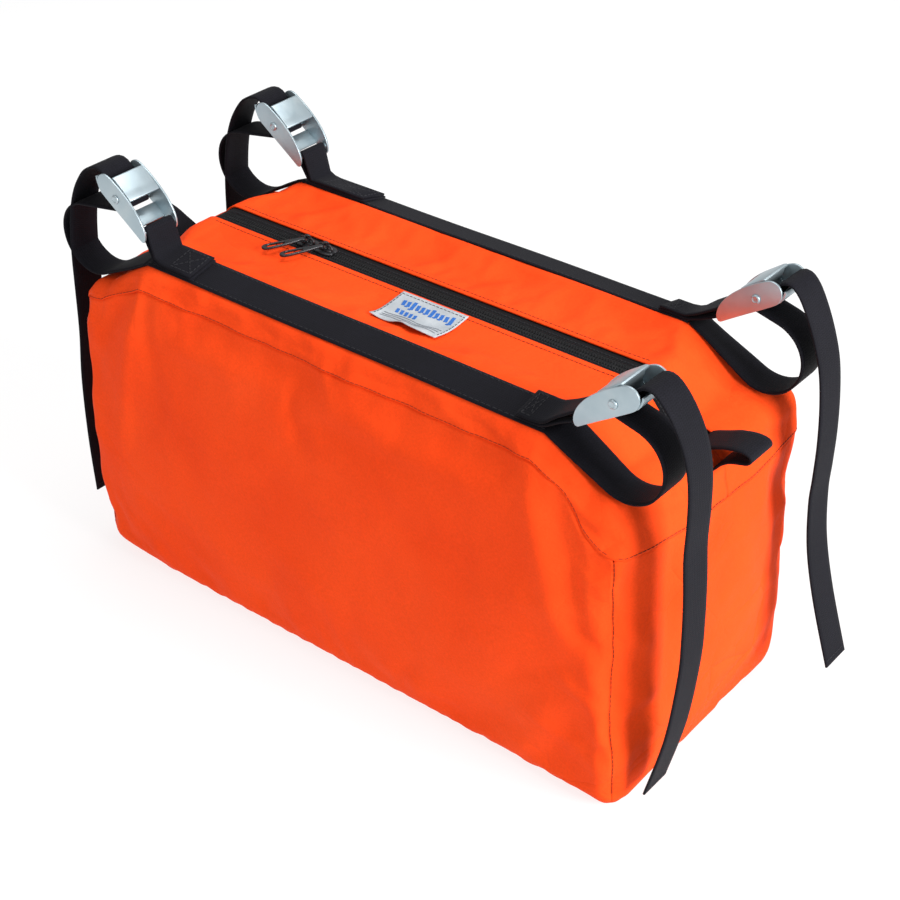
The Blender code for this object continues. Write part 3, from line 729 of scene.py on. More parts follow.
# =============================================================== webbing strips
def strip_mesh(name, centres, across, normals, width, thick, mat, edge=0.35, crown=0.0,
               cols=8):
    """A woven strip along a path: rounded edges, its own slight crown, length and width as UV."""
    prof = []
    hw, ht = width / 2, thick / 2
    for j in range(cols + 1):
        a = -1 + 2 * j / cols
        prof.append((a * (hw - edge * thick), ht + crown * (1 - a * a), (a + 1) / 2))
    prof.append((hw, 0.0, 1.0))
    for j in range(cols + 1):
        a = 1 - 2 * j / cols
        prof.append((a * (hw - edge * thick), -ht + crown * (1 - a * a), (a + 1) / 2))
    prof.append((-hw, 0.0, 0.0))
    n = len(prof)
    verts, uvs, faces = [], [], []
    run = 0.0
    for i, (c, s, m) in enumerate(zip(centres, across, normals)):
        c, s, m = np.array(c, float), np.array(s, float), np.array(m, float)
        if i:
            run += np.linalg.norm(c - np.array(centres[i - 1], float))
        for a, b, v in prof:
            verts.append(c + s * a + m * b)
            uvs.append((run * MM, v))
    for i in range(len(centres) - 1):
        for j in range(n):
            j2 = (j + 1) % n
            faces.append((i * n + j, i * n + j2, (i + 1) * n + j2, (i + 1) * n + j))
    faces.append(tuple(reversed(range(n))))
    faces.append(tuple((len(centres) - 1) * n + j for j in range(n)))
    return outward(mesh_object(name, verts, faces, mat, uvs=uvs))


def path_frames(pts, across=(0, 1, 0)):
    """Across and normal vectors for a path whose flat side stays along Y."""
    pts = [np.array(p, float) for p in pts]
    s = np.array(across, float)
    ac, no = [], []
    for i in range(len(pts)):
        t = pts[min(i + 1, len(pts) - 1)] - pts[max(i - 1, 0)]
        t /= np.linalg.norm(t)
        a = s - t * np.dot(s, t)
        a /= np.linalg.norm(a)
        ac.append(a)
        no.append(np.cross(t, a))
    return ac, no


# the same numbers as in the CAD
TUBE_AXIS_X, TUBE_R = 226.0, 24.13
GAP, WEB_W, WEB_T, WEB_Y, TOP_Z = 0.3, 25.4, 1.6, 77.4, 0.4
LOOP_R = TUBE_R + 1.1 + WEB_T / 2
WEB_Z = TOP_Z + GAP + WEB_T / 2
B_INNER, B_PLATE, PIN_UN, PIN_R = 13.9, 1.5, (34.5, 7.6), 1.9
BAR_UN, BAR_R, EDGE_UN, EDGE_R = (5.2, 5.0), 1.8, (30.0, 0.9), 0.7
RIGHT_FRONT_TAIL = [(232.4, 52.8), (238.6, 54.2), (244.6, 51.2), (251.4, 44.0), (258.0, 34.0),
                    (263.2, 23.0), (267.0, 10.0), (269.0, -5.0), (269.6, -26.0), (269.4, -48.0),
                    (271.4, -75.0), (272.6, -106.0), (272.2, -136.0), (266.6, -188.0),
                    (254.6, -241.0)]
RIGHT_BACK_TAIL = [(232.4, 52.8), (239.0, 53.4), (245.6, 47.4), (253.0, 34.0), (259.6, 18.0),
                   (264.8, 0.0), (268.0, -24.0), (269.4, -50.0), (269.2, -75.0), (268.8, -96.0),
                   (272.0, -130.0), (281.0, -168.0), (296.6, -217.0)]
LEFT_TAIL = [(204.6, 57.6), (212.6, 58.4), (222.4, 53.4), (230.0, 44.4), (236.2, 33.8),
             (241.6, 19.0), (245.4, 0.0), (247.4, -22.0), (248.4, -46.0), (250.2, -84.0),
             (254.8, -126.0), (256.2, -178.0), (254.4, -226.0)]
CORNERS = {
    "front_right": dict(sx=1, sy=-1, p0=(192.7, 13.7), slope=33.3, tab_end=146.0, rise=165.0,
                        tail=RIGHT_FRONT_TAIL),
    "back_right": dict(sx=1, sy=1, p0=(192.7, 13.7), slope=33.3, tab_end=146.0, rise=165.0,
                       tail=RIGHT_BACK_TAIL),
    "front_left": dict(sx=-1, sy=-1, p0=(165.5, 16.5), slope=36.0, tab_end=125.0, rise=156.0,
                       tail=LEFT_TAIL),
    "back_left": dict(sx=-1, sy=1, p0=(165.5, 16.5), slope=36.0, tab_end=106.0, rise=156.0,
                      tail=LEFT_TAIL),
}


def buckle_frame_of(c):
    s = math.radians(c["slope"])
    u, n = (math.cos(s), math.sin(s)), (-math.sin(s), math.cos(s))
    px, pz = c["p0"]
    return lambda a, b: (px + a * u[0] + b * n[0], pz + a * u[1] + b * n[1])


def strap_path(c):
    at = buckle_frame_of(c)
    c1 = Vector((TUBE_AXIS_X, 0.0))
    start = Vector((168.8, WEB_Z))
    v = c1 - start
    a0 = math.atan2(v.y, v.x) - math.asin(LOOP_R / v.length) - math.pi / 2
    c2 = Vector(at(*EDGE_UN))
    r2 = EDGE_R + GAP + WEB_T / 2
    w = c2 - c1
    d = math.atan2(w.y, w.x) + math.asin((LOOP_R + r2) / w.length)
    a1 = d - math.pi / 2
    pts = [tuple(start + (c1 + LOOP_R * Vector((math.cos(a0), math.sin(a0))) - start) * k / 8)
           for k in range(8)]
    n = 44
    pts += [(c1.x + LOOP_R * math.cos(a0 + (a1 - a0) * i / n),
             c1.y + LOOP_R * math.sin(a0 + (a1 - a0) * i / n)) for i in range(n + 1)]
    b0 = d + math.pi / 2
    b1 = math.radians(c["slope"]) + math.pi / 2
    p_in = c2 + r2 * Vector((math.cos(b0), math.sin(b0)))
    p_out = Vector(pts[-1])
    pts += [tuple(p_out + (p_in - p_out) * k / 5) for k in (1, 2, 3, 4)]
    m = 10
    pts += [(c2.x + r2 * math.cos(b0 + (b1 - b0) * i / m),
             c2.y + r2 * math.sin(b0 + (b1 - b0) * i / m)) for i in range(m + 1)]
    n_flat = EDGE_UN[1] + r2
    tail = catmull([at(33.0, n_flat), at(38.0, n_flat + 0.05), at(42.6, n_flat + 1.7),
                    at(46.4, n_flat + 5.6)] + c["tail"], 3.5)
    return pts + [tuple(p) for p in tail], len(pts)


def tab_path(c):
    at = buckle_frame_of(c)
    bar = Vector(at(*BAR_UN))
    r = BAR_R + GAP + WEB_T / 2
    z1 = WEB_Z + WEB_T + GAP
    z2 = z1 + WEB_T + GAP
    rise = c["rise"]
    low = Vector((rise + 4.0, z1 + 1.3))
    high = Vector((rise + 2.6, z2 + 1.5))
    v = bar - low
    a0 = math.atan2(v.y, v.x) - math.asin(r / v.length) - math.pi / 2
    v = bar - high
    a1 = math.atan2(v.y, v.x) + math.asin(r / v.length) + math.pi / 2
    pts = [(c["tab_end"], z1), ((c["tab_end"] + rise - 6) / 2, z1), (rise - 6, z1), (rise, z1 + 0.3),
           tuple(low)]
    b = Vector((bar.x + r * math.cos(a0), bar.y + r * math.sin(a0)))
    pts += [tuple(low + (b - low) * k / 3) for k in (1, 2)]
    k = 16
    pts += [(bar.x + r * math.cos(a0 + (a1 - a0) * i / k),
             bar.y + r * math.sin(a0 + (a1 - a0) * i / k)) for i in range(k + 1)]
    b = Vector(pts[-1])
    pts += [tuple(b + (high - b) * i / 3) for i in (1, 2)]
    pts += [tuple(high), (rise - 1.4, z2 + 0.3), (rise - 7, z2), ((c["tab_end"] + rise - 6) / 2, z2),
            (c["tab_end"] + 1.0, z2)]
    return pts


def to_world(path, sx, yc):
    return [(sx * x, yc, z + TZ) for x, z in path]


def leaned(ac, no, sy, angles):
    """The frames of a strip turned about its own line, outer edge down."""
    ac2, no2 = [], []
    for a, n, t in zip(ac, no, angles):
        a, n = np.array(a, float), np.array(n, float)
        up = 1.0 if n[2] >= 0 else -1.0
        # the lean is seen from outside: the side away from the middle goes down
        k = -sy * up * t
        ac2.append(a * math.cos(k) + n * math.sin(k))
        no2.append(n * math.cos(k) - a * math.sin(k))
    return ac2, no2


def run_lengths(pts):
    out = [0.0]
    for p, q in zip(pts, pts[1:]):
        out.append(out[-1] + float(np.linalg.norm(np.array(q, float) - np.array(p, float))))
    return out


def stitches(name, rows, mat, length=3.0, gap=1.1, r=0.30):
    """Rows of separate sewing stitches: each a small rounded thread that dips in at both ends."""
    verts, faces = [], []
    for pts, normals in rows:
        pts = [np.array(p, float) for p in pts]
        normals = [np.array(n, float) for n in normals]
        at = np.array(run_lengths(pts))
        if at[-1] < length:
            continue
        px = np.array(pts)
        nx = np.array(normals)

        def sample(q):
            p = np.array([np.interp(q, at, px[:, k]) for k in range(3)])
            n = np.array([np.interp(q, at, nx[:, k]) for k in range(3)])
            return p, n / max(np.linalg.norm(n), 1e-9)
        count = int((at[-1] + gap) / (length + gap))
        for c in range(count):
            q0 = c * (length + gap)
            base = len(verts)
            mid = [(0.0, -0.6), (0.16, 0.25), (0.5, 0.45), (0.84, 0.25), (1.0, -0.6)]
            pts5 = []
            for f, h in mid:
                p, n = sample(q0 + f * length)
                pts5.append((p + n * (h * r), n))
            for k, (p, n) in enumerate(pts5):
                t = pts5[min(k + 1, 4)][0] - pts5[max(k - 1, 0)][0]
                t /= max(np.linalg.norm(t), 1e-9)
                side = np.cross(t, n)
                side /= max(np.linalg.norm(side), 1e-9)
                for j in range(5):
                    w = 2 * math.pi * j / 5
                    verts.append(p + side * (r * math.cos(w)) + n * (r * 0.8 * math.sin(w)))
            for k in range(4):
                for j in range(5):
                    j2 = (j + 1) % 5
                    faces.append((base + k * 5 + j, base + k * 5 + j2, base + k * 5 + 5 + j2,
                                  base + k * 5 + 5 + j))
            faces.append(tuple(base + j for j in reversed(range(5))))
            faces.append(tuple(base + 20 + j for j in range(5)))
    return outward(mesh_object(name, verts, faces, mat))


# ---------------------------------------------------------------- top webbings
for name, sy in (("top_webbing_front", -1), ("top_webbing_back", 1)):
    xs = np.linspace(-168.2, 168.2, 90)
    cs = [(x, sy * WEB_Y, TZ + WEB_Z + 0.25 * math.sin(x / 31.0)) for x in xs]
    ac, no = leaned([(0, 1, 0)] * len(cs), [(0, 0, 1)] * len(cs), sy, [TILT] * len(cs))
    ob = strip_mesh(name + "_strip", cs, ac, no, WEB_W, WEB_T, BLACK)
    place(ob, "bag", [name])
    rows = []
    for e in (-10.4, 10.4):
        rows.append(([np.array(c) + np.array(a_) * e + np.array(n_) * (WEB_T / 2 + 0.05)
                      for c, a_, n_ in zip(cs, ac, no)], no))
    place(stitches(name + "_stitches", rows, THREAD_BLACK, 3.2, 1.3, 0.26), "bag")

# ---------------------------------------------------------------- straps and buckle tabs
for corner, c in CORNERS.items():
    sx, sy, yc = c["sx"], c["sy"], c["sy"] * WEB_Y
    path, n_loop = strap_path(c)
    pts = to_world(path, sx, yc)
    ac, no = path_frames(pts)
    run = run_lengths(pts)
    ac, no = leaned(ac, no, sy, [TILT * (1 - smoothstep(6.0, 62.0, q)) for q in run])
    strip = strip_mesh(corner + "_strap_webbing", pts, ac, no, WEB_W, WEB_T, BLACK)
    place(strip, "bag", [corner + "_strap"])
    # the tail's end is melted: a thin hard line of stitches stops it fraying
    k = len(pts) - 3
    row = [np.array(pts[k]) + np.array(ac[k]) * e + np.array(no[k]) * (WEB_T / 2 + 0.05)
           for e in np.linspace(-11, 11, 9)]
    back = [np.array(pts[k]) + np.array(ac[k]) * e - np.array(no[k]) * (WEB_T / 2 + 0.05)
            for e in np.linspace(-11, 11, 9)]
    place(stitches(corner + "_tail_stitches", [(row, [no[k]] * 9), (back, [-np.array(no[k])] * 9)],
                   THREAD_BLACK, 2.6, 1.0, 0.26), "bag")
    tab = tab_path(c)
    pts = to_world(tab, sx, yc)
    ac, no = path_frames(pts)
    rise = c["rise"]
    ac, no = leaned(ac, no, sy, [TILT * (1 - smoothstep(rise - 8, rise + 16, p[0])) for p in tab])
    # the top layer's frames point down along the way back, so its lean keeps the same sign
    ob = strip_mesh(corner + "_tab_webbing", pts, ac, no, WEB_W - 0.6, WEB_T, BLACK)
    place(ob, "bag", [corner + "_buckle_tab"])
    # box and cross sewn through the tab
    x0, x1 = c["tab_end"] + 3.5, rise - 9.0
    z_top = tab[-1][1] + WEB_T / 2 + TZ
    lean = lambda e: (sy * e * math.cos(TILT), -e * math.sin(TILT))

    def on_tab(x, e):
        """e runs across the tab, outward positive."""
        dy, dz = lean(e)
        return np.array([sx * x, yc + dy, z_top + dz + 0.05])
    up = np.array([0, sy * math.sin(TILT), math.cos(TILT)])
    loop = [(x0, -9.6), (x1, -9.6), (x1, 9.6), (x0, 9.6), (x0, -9.6)]
    rows = []
    for p, q in list(zip(loop, loop[1:])) + [((x0, -9.6), (x1, 9.6)), ((x0, 9.6), (x1, -9.6))]:
        line = [on_tab(p[0] + (q[0] - p[0]) * t, p[1] + (q[1] - p[1]) * t) for t in np.linspace(0, 1, 9)]
        rows.append((line, [up] * 9))
    place(stitches(corner + "_tab_stitches", rows, THREAD_BLACK, 2.6, 1.0, 0.30), "bag")


# =============================================================== seams of the cloth
def seam_row(idx, frac_up, lo=0, hi=None):
    """Points along the seam row of the walls, a share of a cell above it, on the cloth's face."""
    pts, nrm = [], []
    for i in idx:
        p = shell_v[walls[i][K1]] * (1 - frac_up) + shell_v[walls[i][K1 + 1]] * frac_up
        n = shell_n[walls[i][K1]] * (1 - frac_up) + shell_n[walls[i][K1 + 1]] * frac_up
        n = n / np.linalg.norm(n)
        hit, m = on_cloth(p + n * 8, -n)
        if (np.array(hit) - p).dot(n) > 3 or (np.array(hit) - p).dot(n) < -3:
            hit = p
        pts.append(np.array(hit) + n * 0.05)
        nrm.append(n)
    return pts, nrm


NX, NY = len(XS) - 1, len(YS) - 1
front_idx = list(range(1, NX))
right_idx = list(range(NX + 1, NX + NY))
back_idx = list(range(NX + NY + 1, 2 * NX + NY))
left_idx = list(range(2 * NX + NY + 1, 2 * NX + 2 * NY))
rows = [seam_row(front_idx, 0.5), seam_row(back_idx, 0.5)]
place(stitches("seam_stitches_sides", rows, THREAD_ORANGE, 3.0, 0.5, 0.24), "bag")
rows = [seam_row(right_idx, 0.3), seam_row(left_idx, 0.6)]
place(stitches("seam_stitches_ends", rows, THREAD_DARK, 3.0, 0.5, 0.28), "bag")

# the corner seams, from the base up to the top panels: on the end panels, close to the edge
rows = []
for corner_i, step in ((0, -1), (NX, 1), (NX + NY, -1), (2 * NX + NY, 1)):
    j = (corner_i + step) % len(ring)
    pts, nrm = [], []
    for k in range(3, K1 + 1):
        p = shell_v[walls[corner_i][k]] * 0.78 + shell_v[walls[j][k]] * 0.22
        n = shell_n[walls[corner_i][k]] * 0.78 + shell_n[walls[j][k]] * 0.22
        n /= np.linalg.norm(n)
        hit, m = on_cloth(p + n * 8, -n)
        if abs((np.array(hit) - p).dot(n)) > 3:
            hit = p
        pts.append(np.array(hit) + n * 0.05)
        nrm.append(n)
    rows.append((pts, nrm))
place(stitches("seam_stitches_corners", rows, THREAD_DARK, 3.0, 0.5, 0.26), "bag")

# topstitching beside the zip
rows = []
for sy in (-1, 1):
    for off in (3.6,):
        pts, nrm = [], []
        for x in np.linspace(-176, 176, 120):
            hit, n = on_cloth((x, sy * (ZIP_HALF + off), 400.0), (0, 0, -1))
            pts.append(np.array(hit) + np.array(n) * 0.05)
            nrm.append(np.array(n))
        rows.append((pts, nrm))
place(stitches("zip_topstitching", rows, THREAD_DARK, 2.9, 0.5, 0.26), "bag")


# =============================================================== zip
def tape_uv(p):
    x, y, z = p
    u = math.copysign(min(abs(x), 200.0) + max(0.0, TZ - z), x)
    return u * MM, y / 12.0


for side, sy in (("front", -1), ("back", 1)):
    keep = []
    for i, t in enumerate(shell_tags):
        if t == "strip_" + side:
            keep.append(i)
        elif t == "top_panel_" + side:
            # the next column of cells goes under the cloth's edge
            my = np.mean([shell_v[a][1] for a in shell_f[i]])
            mx = np.mean([abs(shell_v[a][0]) for a in shell_f[i]])
            mz = np.mean([shell_v[a][2] - top_height(*shell_v[a][:2]) for a in shell_f[i]])
            if abs(my) < ZIP_HALF + 5.2 and mx < ZIP_END + 4 and mz > -6:
                keep.append(i)
    ob = panel_object("zip_tape_%s_cloth" % side, keep, TAPE, 0.5, -1.0, 1.15, tape_uv)
    place(ob, "bag", ["zip_tape_" + side])

centre = [shell_v[top_grid[i][MID]] * np.array([1, 0, 1]) for i in range(NX, -1, -1)
          if abs(XS[i]) < ZIP_END + 3]
for _ in range(2):              # takes the cell edges out of the line
    centre = [centre[0]] + [(centre[i - 1] + 2 * centre[i] + centre[i + 1]) / 4
                            for i in range(1, len(centre) - 1)] + [centre[-1]]
centre = catmull(centre, 1.0)
run = np.array(run_lengths(centre))
centre = np.array(centre)


def centre_at(q):
    p = np.array([np.interp(q, run, centre[:, k]) for k in (0, 1, 2)])
    a_ = np.array([np.interp(q - 1.2, run, centre[:, k]) for k in (0, 1, 2)])
    b_ = np.array([np.interp(q + 1.2, run, centre[:, k]) for k in (0, 1, 2)])
    t = b_ - a_
    t /= np.linalg.norm(t)
    n = np.cross(t, (0, 1, 0))
    if n.dot(np.array([p[0] * 0.3, 0, p[2] - 100])) < 0:
        n = -n
    return p, t, n


# the coil's teeth: each turn of the nylon is a small hooked loop, locked with the other side's
TOOTH = [(4.9, -0.5), (4.6, 0.35), (3.6, 0.85), (1.2, 0.95), (-0.35, 0.7), (-0.75, 0.1), (-0.4, -0.5)]
PITCH = 2.1
for side, sy in (("front", -1), ("back", 1)):
    verts, faces = [], []
    count = int((run[-1] - 6) / PITCH)
    for c in range(count):
        q = 3 + c * PITCH + (PITCH / 2 if sy > 0 else 0)
        p, t, n = centre_at(q)
        base = len(verts)
        o = p - n * 1.75
        for k, (yy, hh) in enumerate(TOOTH):
            y0, h0 = TOOTH[max(k - 1, 0)]
            y1, h1 = TOOTH[min(k + 1, len(TOOTH) - 1)]
            d = np.array([0, sy * (y1 - y0), 0]) + n * (h1 - h0)
            d /= np.linalg.norm(d)
            b_ = np.cross(d, t)
            for j in range(5):
                w = 2 * math.pi * j / 5
                verts.append(o + np.array([0, sy * yy, 0]) + n * hh + t * (0.68 * math.cos(w))
                             + b_ * (0.5 * math.sin(w)))
        for k in range(len(TOOTH) - 1):
            for j in range(5):
                j2 = (j + 1) % 5
                faces.append((base + k * 5 + j, base + k * 5 + j2, base + k * 5 + 5 + j2,
                              base + k * 5 + 5 + j))
        faces.append(tuple(base + j for j in reversed(range(5))))
        faces.append(tuple(base + (len(TOOTH) - 1) * 5 + j for j in range(5)))
    # the cord that each coil is wound round fills the gaps between its turns
    base = len(verts)
    qs = np.arange(2.5, run[-1] - 2.5, 2.4)
    for i, q in enumerate(qs):
        p, t, n = centre_at(q)
        for j in range(8):
            w = 2 * math.pi * j / 8
            verts.append(p - n * 1.45 + np.array([0, sy * (2.35 + 1.75 * math.cos(w)), 0])
                         + n * (0.78 * math.sin(w)))
    for i in range(len(qs) - 1):
        for j in range(8):
            j2 = (j + 1) % 8
            faces.append((base + i * 8 + j, base + i * 8 + j2, base + i * 8 + 8 + j2, base + i * 8 + 8 + j))
    faces.append(tuple(base + j for j in reversed(range(8))))
    faces.append(tuple(base + (len(qs) - 1) * 8 + j for j in range(8)))
    ob = outward(mesh_object("zip_teeth_" + side, verts, faces, COIL))
    place(ob, "bag", ["zip_coil_" + side])
    # the sewing line that holds the coil to its tape
    rows = []
    pts, nrm = [], []
    for q in np.arange(4, run[-1] - 4, 3.0):
        p, t, n = centre_at(q)
        pts.append(p - n * 1.05 + np.array([0, sy * 6.1, 0]))
        nrm.append(n)
    place(stitches("zip_coil_sewing_" + side, [(pts, nrm)], THREAD_BLACK, 2.2, 0.7, 0.26), "bag")


# =============================================================== flat profiles with soft edges
def circle(cx, cy, r, n):
    return [(cx + r * math.cos(2 * math.pi * i / n), cy + r * math.sin(2 * math.pi * i / n))
            for i in range(n)]


def closed_curve(pts, step):
    """A closed smooth line through the points, at about the given step."""
    pts = [np.array(p, float) for p in pts]
    n = len(pts)
    out = []
    for i in range(n):
        p0, p1, p2, p3 = pts[i - 1], pts[i], pts[(i + 1) % n], pts[(i + 2) % n]
        k = max(1, int(round(np.linalg.norm(p2 - p1) / step)))
        for j in range(k):
            t = j / k
            out.append(tuple(0.5 * ((2 * p1) + (p2 - p0) * t + (2 * p0 - 5 * p1 + 4 * p2 - p3) * t * t
                                    + (3 * p1 - p0 - 3 * p2 + p3) * t ** 3)))
    return out


def profile_mesh(outline, holes, thick, edge):
    """A flat outline with holes given a thickness and rounded edges: its points and faces, in mm."""
    cu = bpy.data.curves.new("profile", "CURVE")
    cu.dimensions = "2D"
    cu.fill_mode = "BOTH"
    cu.extrude = max(thick / 2 - edge, 0.001)
    cu.bevel_depth = edge
    cu.bevel_resolution = 2
    cu.offset = -edge
    for loop in [outline] + list(holes):
        sp = cu.splines.new("POLY")
        sp.points.add(len(loop) - 1)
        for q, (x, y) in zip(sp.points, loop):
            q.co = (x, y, 0.0, 1.0)
        sp.use_cyclic_u = True
    ob = bpy.data.objects.new("profile", cu)
    SCENE.collection.objects.link(ob)
    bpy.context.view_layer.update()
    me = bpy.data.meshes.new_from_object(ob.evaluated_get(bpy.context.evaluated_depsgraph_get()))
    bpy.data.objects.remove(ob, do_unlink=True)
    bm = bmesh.new()
    bm.from_mesh(me)
    bmesh.ops.remove_doubles(bm, verts=bm.verts, dist=1e-4)
    bm.to_mesh(me)
    bm.free()
    return [tuple(v.co) for v in me.vertices], [tuple(p.vertices) for p in me.polygons]


def solid_object(name, parts, mat, sharp=38.0):
    """Several (points, faces) as one object; flat faces stay flat and rounded ones smooth."""
    verts, faces = [], []
    for v, f in parts:
        base = len(verts)
        verts += list(v)
        faces += [tuple(base + i for i in q) for q in f]
    ob = outward(mesh_object(name, verts, faces, mat))
    ob.data.set_sharp_from_angle(angle=math.radians(sharp))
    return ob


def lathe_parts(rings, n, frame_fn):
    verts, faces = [], []
    for r, h in rings:
        for i in range(n):
            w = 2 * math.pi * i / n
            verts.append(frame_fn(r * math.cos(w), r * math.sin(w), h))
    for k in range(len(rings) - 1):
        for i in range(n):
            j = (i + 1) % n
            faces.append((k * n + i, k * n + j, (k + 1) * n + j, (k + 1) * n + i))
    faces.append(tuple(reversed(range(n))))
    faces.append(tuple((len(rings) - 1) * n + i for i in range(n)))
    return verts, faces


def tube_parts(pts, r, n, closed=False):
    pts = [np.array(p, float) for p in pts]
    verts, faces = [], []
    ref = None
    for i, p in enumerate(pts):
        t = pts[min(i + 1, len(pts) - 1)] - pts[max(i - 1, 0)]
        t /= np.linalg.norm(t)
        if ref is None:
            ref = np.array([0, 0, 1.0]) if abs(t[2]) < 0.9 else np.array([1.0, 0, 0])
        a_ = ref - t * ref.dot(t)
        a_ /= np.linalg.norm(a_)
        ref = a_
        b_ = np.cross(t, a_)
        for j in range(n):
            w = 2 * math.pi * j / n
            verts.append(tuple(p + a_ * (r * math.cos(w)) + b_ * (r * math.sin(w))))
    for i in range(len(pts) - 1):
        for j in range(n):
            j2 = (j + 1) % n
            faces.append((i * n + j, i * n + j2, (i + 1) * n + j2, (i + 1) * n + j))
    faces.append(tuple(reversed(range(n))))
    faces.append(tuple((len(pts) - 1) * n + j for j in range(n)))
    return verts, faces


# =============================================================== cam buckles
SIDE_OUTLINE = [(0.3, 1.0), (1.6, 0.0), (8.0, 0.0), (20.0, 0.0), (34.0, -0.1), (45.5, 0.1),
                (49.6, 1.2), (52.8, 3.8), (54.2, 7.4), (54.0, 11.0), (51.8, 14.2), (48.2, 16.0),
                (42.0, 16.7), (34.0, 16.9), (25.0, 16.3), (17.0, 14.9), (10.4, 12.6), (5.4, 9.8),
                (1.6, 6.2), (0.2, 3.4)]
BASE_REAR = [(30.0, 0.2), (46.0, 0.2), (49.6, 0.6), (53.0, 2.0), (55.6, 4.2), (56.6, 5.8),
             (55.4, 6.4), (54.4, 5.0), (52.2, 3.2), (49.2, 1.9), (46.0, 1.6), (30.0, 1.6),
             (29.5, 1.4), (29.3, 0.9), (29.5, 0.4)]
BASE_FRONT = [(11.2, 0.9), (11.5, 0.4), (12.2, 0.2), (23.3, 0.2), (23.8, 0.5), (24.0, 0.9),
              (23.8, 1.3), (23.3, 1.6), (12.2, 1.6), (11.5, 1.4)]
THUMB = [(25.2, 15.0), (25.8, 14.6), (33.0, 14.9), (42.6, 15.3), (45.2, 15.6), (45.8, 16.6),
         (44.9, 17.5), (43.0, 17.8), (33.0, 17.2), (26.0, 16.6), (25.3, 16.1)]
CAM = [(33.4, 16.0), (31.6, 13.2), (30.8, 10.4), (30.6, 8.0), (31.1, 6.0), (32.4, 4.6),
       (33.6, 4.1), (34.2, 4.5), (34.9, 3.95), (35.5, 4.4), (36.2, 4.05), (36.8, 4.6), (37.5, 4.5),
       (38.2, 5.6), (38.9, 7.6), (39.6, 9.6), (41.4, 12.0), (44.0, 14.2), (45.2, 16.0), (43.6, 17.0)]

for corner, c in CORNERS.items():
    sx, yc = c["sx"], c["sy"] * WEB_Y
    at = buckle_frame_of(c)

    def put(part, y_mid):
        """A profile drawn in the buckle's own plane, its thickness along the tube."""
        v, f = part
        out = []
        for u, n, h in v:
            x, z = at(u, n)
            out.append((sx * x, yc + y_mid + h, z + TZ))
        return out, f

    smooth_side = closed_curve(SIDE_OUTLINE, 1.6)
    parts = []
    for s_ in (-1, 1):
        parts.append(put(profile_mesh(smooth_side, [], B_PLATE, 0.32), s_ * (B_INNER + B_PLATE / 2)))
    width = 2 * (B_INNER + 0.6)
    parts.append(put(profile_mesh(BASE_FRONT, [], width, 0.18), 0.0))
    parts.append(put(profile_mesh(BASE_REAR, [], width, 0.18), 0.0))
    parts.append(put(profile_mesh(circle(*BAR_UN, BAR_R, 24), [], width, 0.1), 0.0))
    ob = solid_object(corner + "_buckle_body", parts, ZINC)
    place(ob, "bag", [corner + "_buckle_frame"])

    # the cam lever: thumb plate with rounded corners over the toothed cam
    thumb = put(profile_mesh(THUMB, [], 27.0, 0.45), 0.0)
    cam = put(profile_mesh(CAM, [], 23.1, 0.15), -1.95)
    lever = solid_object(corner + "_lever", [thumb, cam], ZINC, 30.0)
    place(lever, corner + "_lever", [corner + "_cam_lever"])

    def pin_frame(a_, b_, h):
        px, pz = at(PIN_UN[0] + a_, PIN_UN[1] + b_)
        return (sx * px, yc + h, pz + TZ)
    e = B_INNER + B_PLATE
    half = [(PIN_R, 0.0), (PIN_R, e + 0.02), (2.9, e + 0.02), (3.15, e + 0.25), (3.1, e + 0.7),
            (2.75, e + 1.1), (2.1, e + 1.35), (1.9, e + 1.15), (1.2, e + 1.05), (0.3, e + 1.05)]
    rings = [(r, -h) for r, h in reversed(half[1:])] + half[1:]
    pin = solid_object(corner + "_rivet", [lathe_parts(rings, 28, pin_frame)], ZINC, 50.0)
    place(pin, "bag", [corner + "_cam_pin"])

    cx, cz = at(*PIN_UN)
    coil = []
    for i in range(53):
        a_ = 2 * math.pi * 2.6 * i / 52
        coil.append((sx * (cx + 2.65 * math.cos(a_)), yc + 10.7 + 2.2 * i / 52,
                     TZ + cz + 2.65 * math.sin(a_)))
    # the spring wears the zinc with painted shade
    ob = solid_object(corner + "_spring", [tube_parts(coil, 0.4, 8)], ZINC_PAINTED_SHADE, 70.0)
    place(ob, "bag", [corner + "_cam_spring"])


# =============================================================== zip sliders and pulls
CHAIN_Z, SLIDER_L, SLIDER_W = -1.8, 16.0, 11.6
PULL_YAW, PULL_LEN, PULL_TIP_Z = math.radians(31.0), 33.0, 2.5

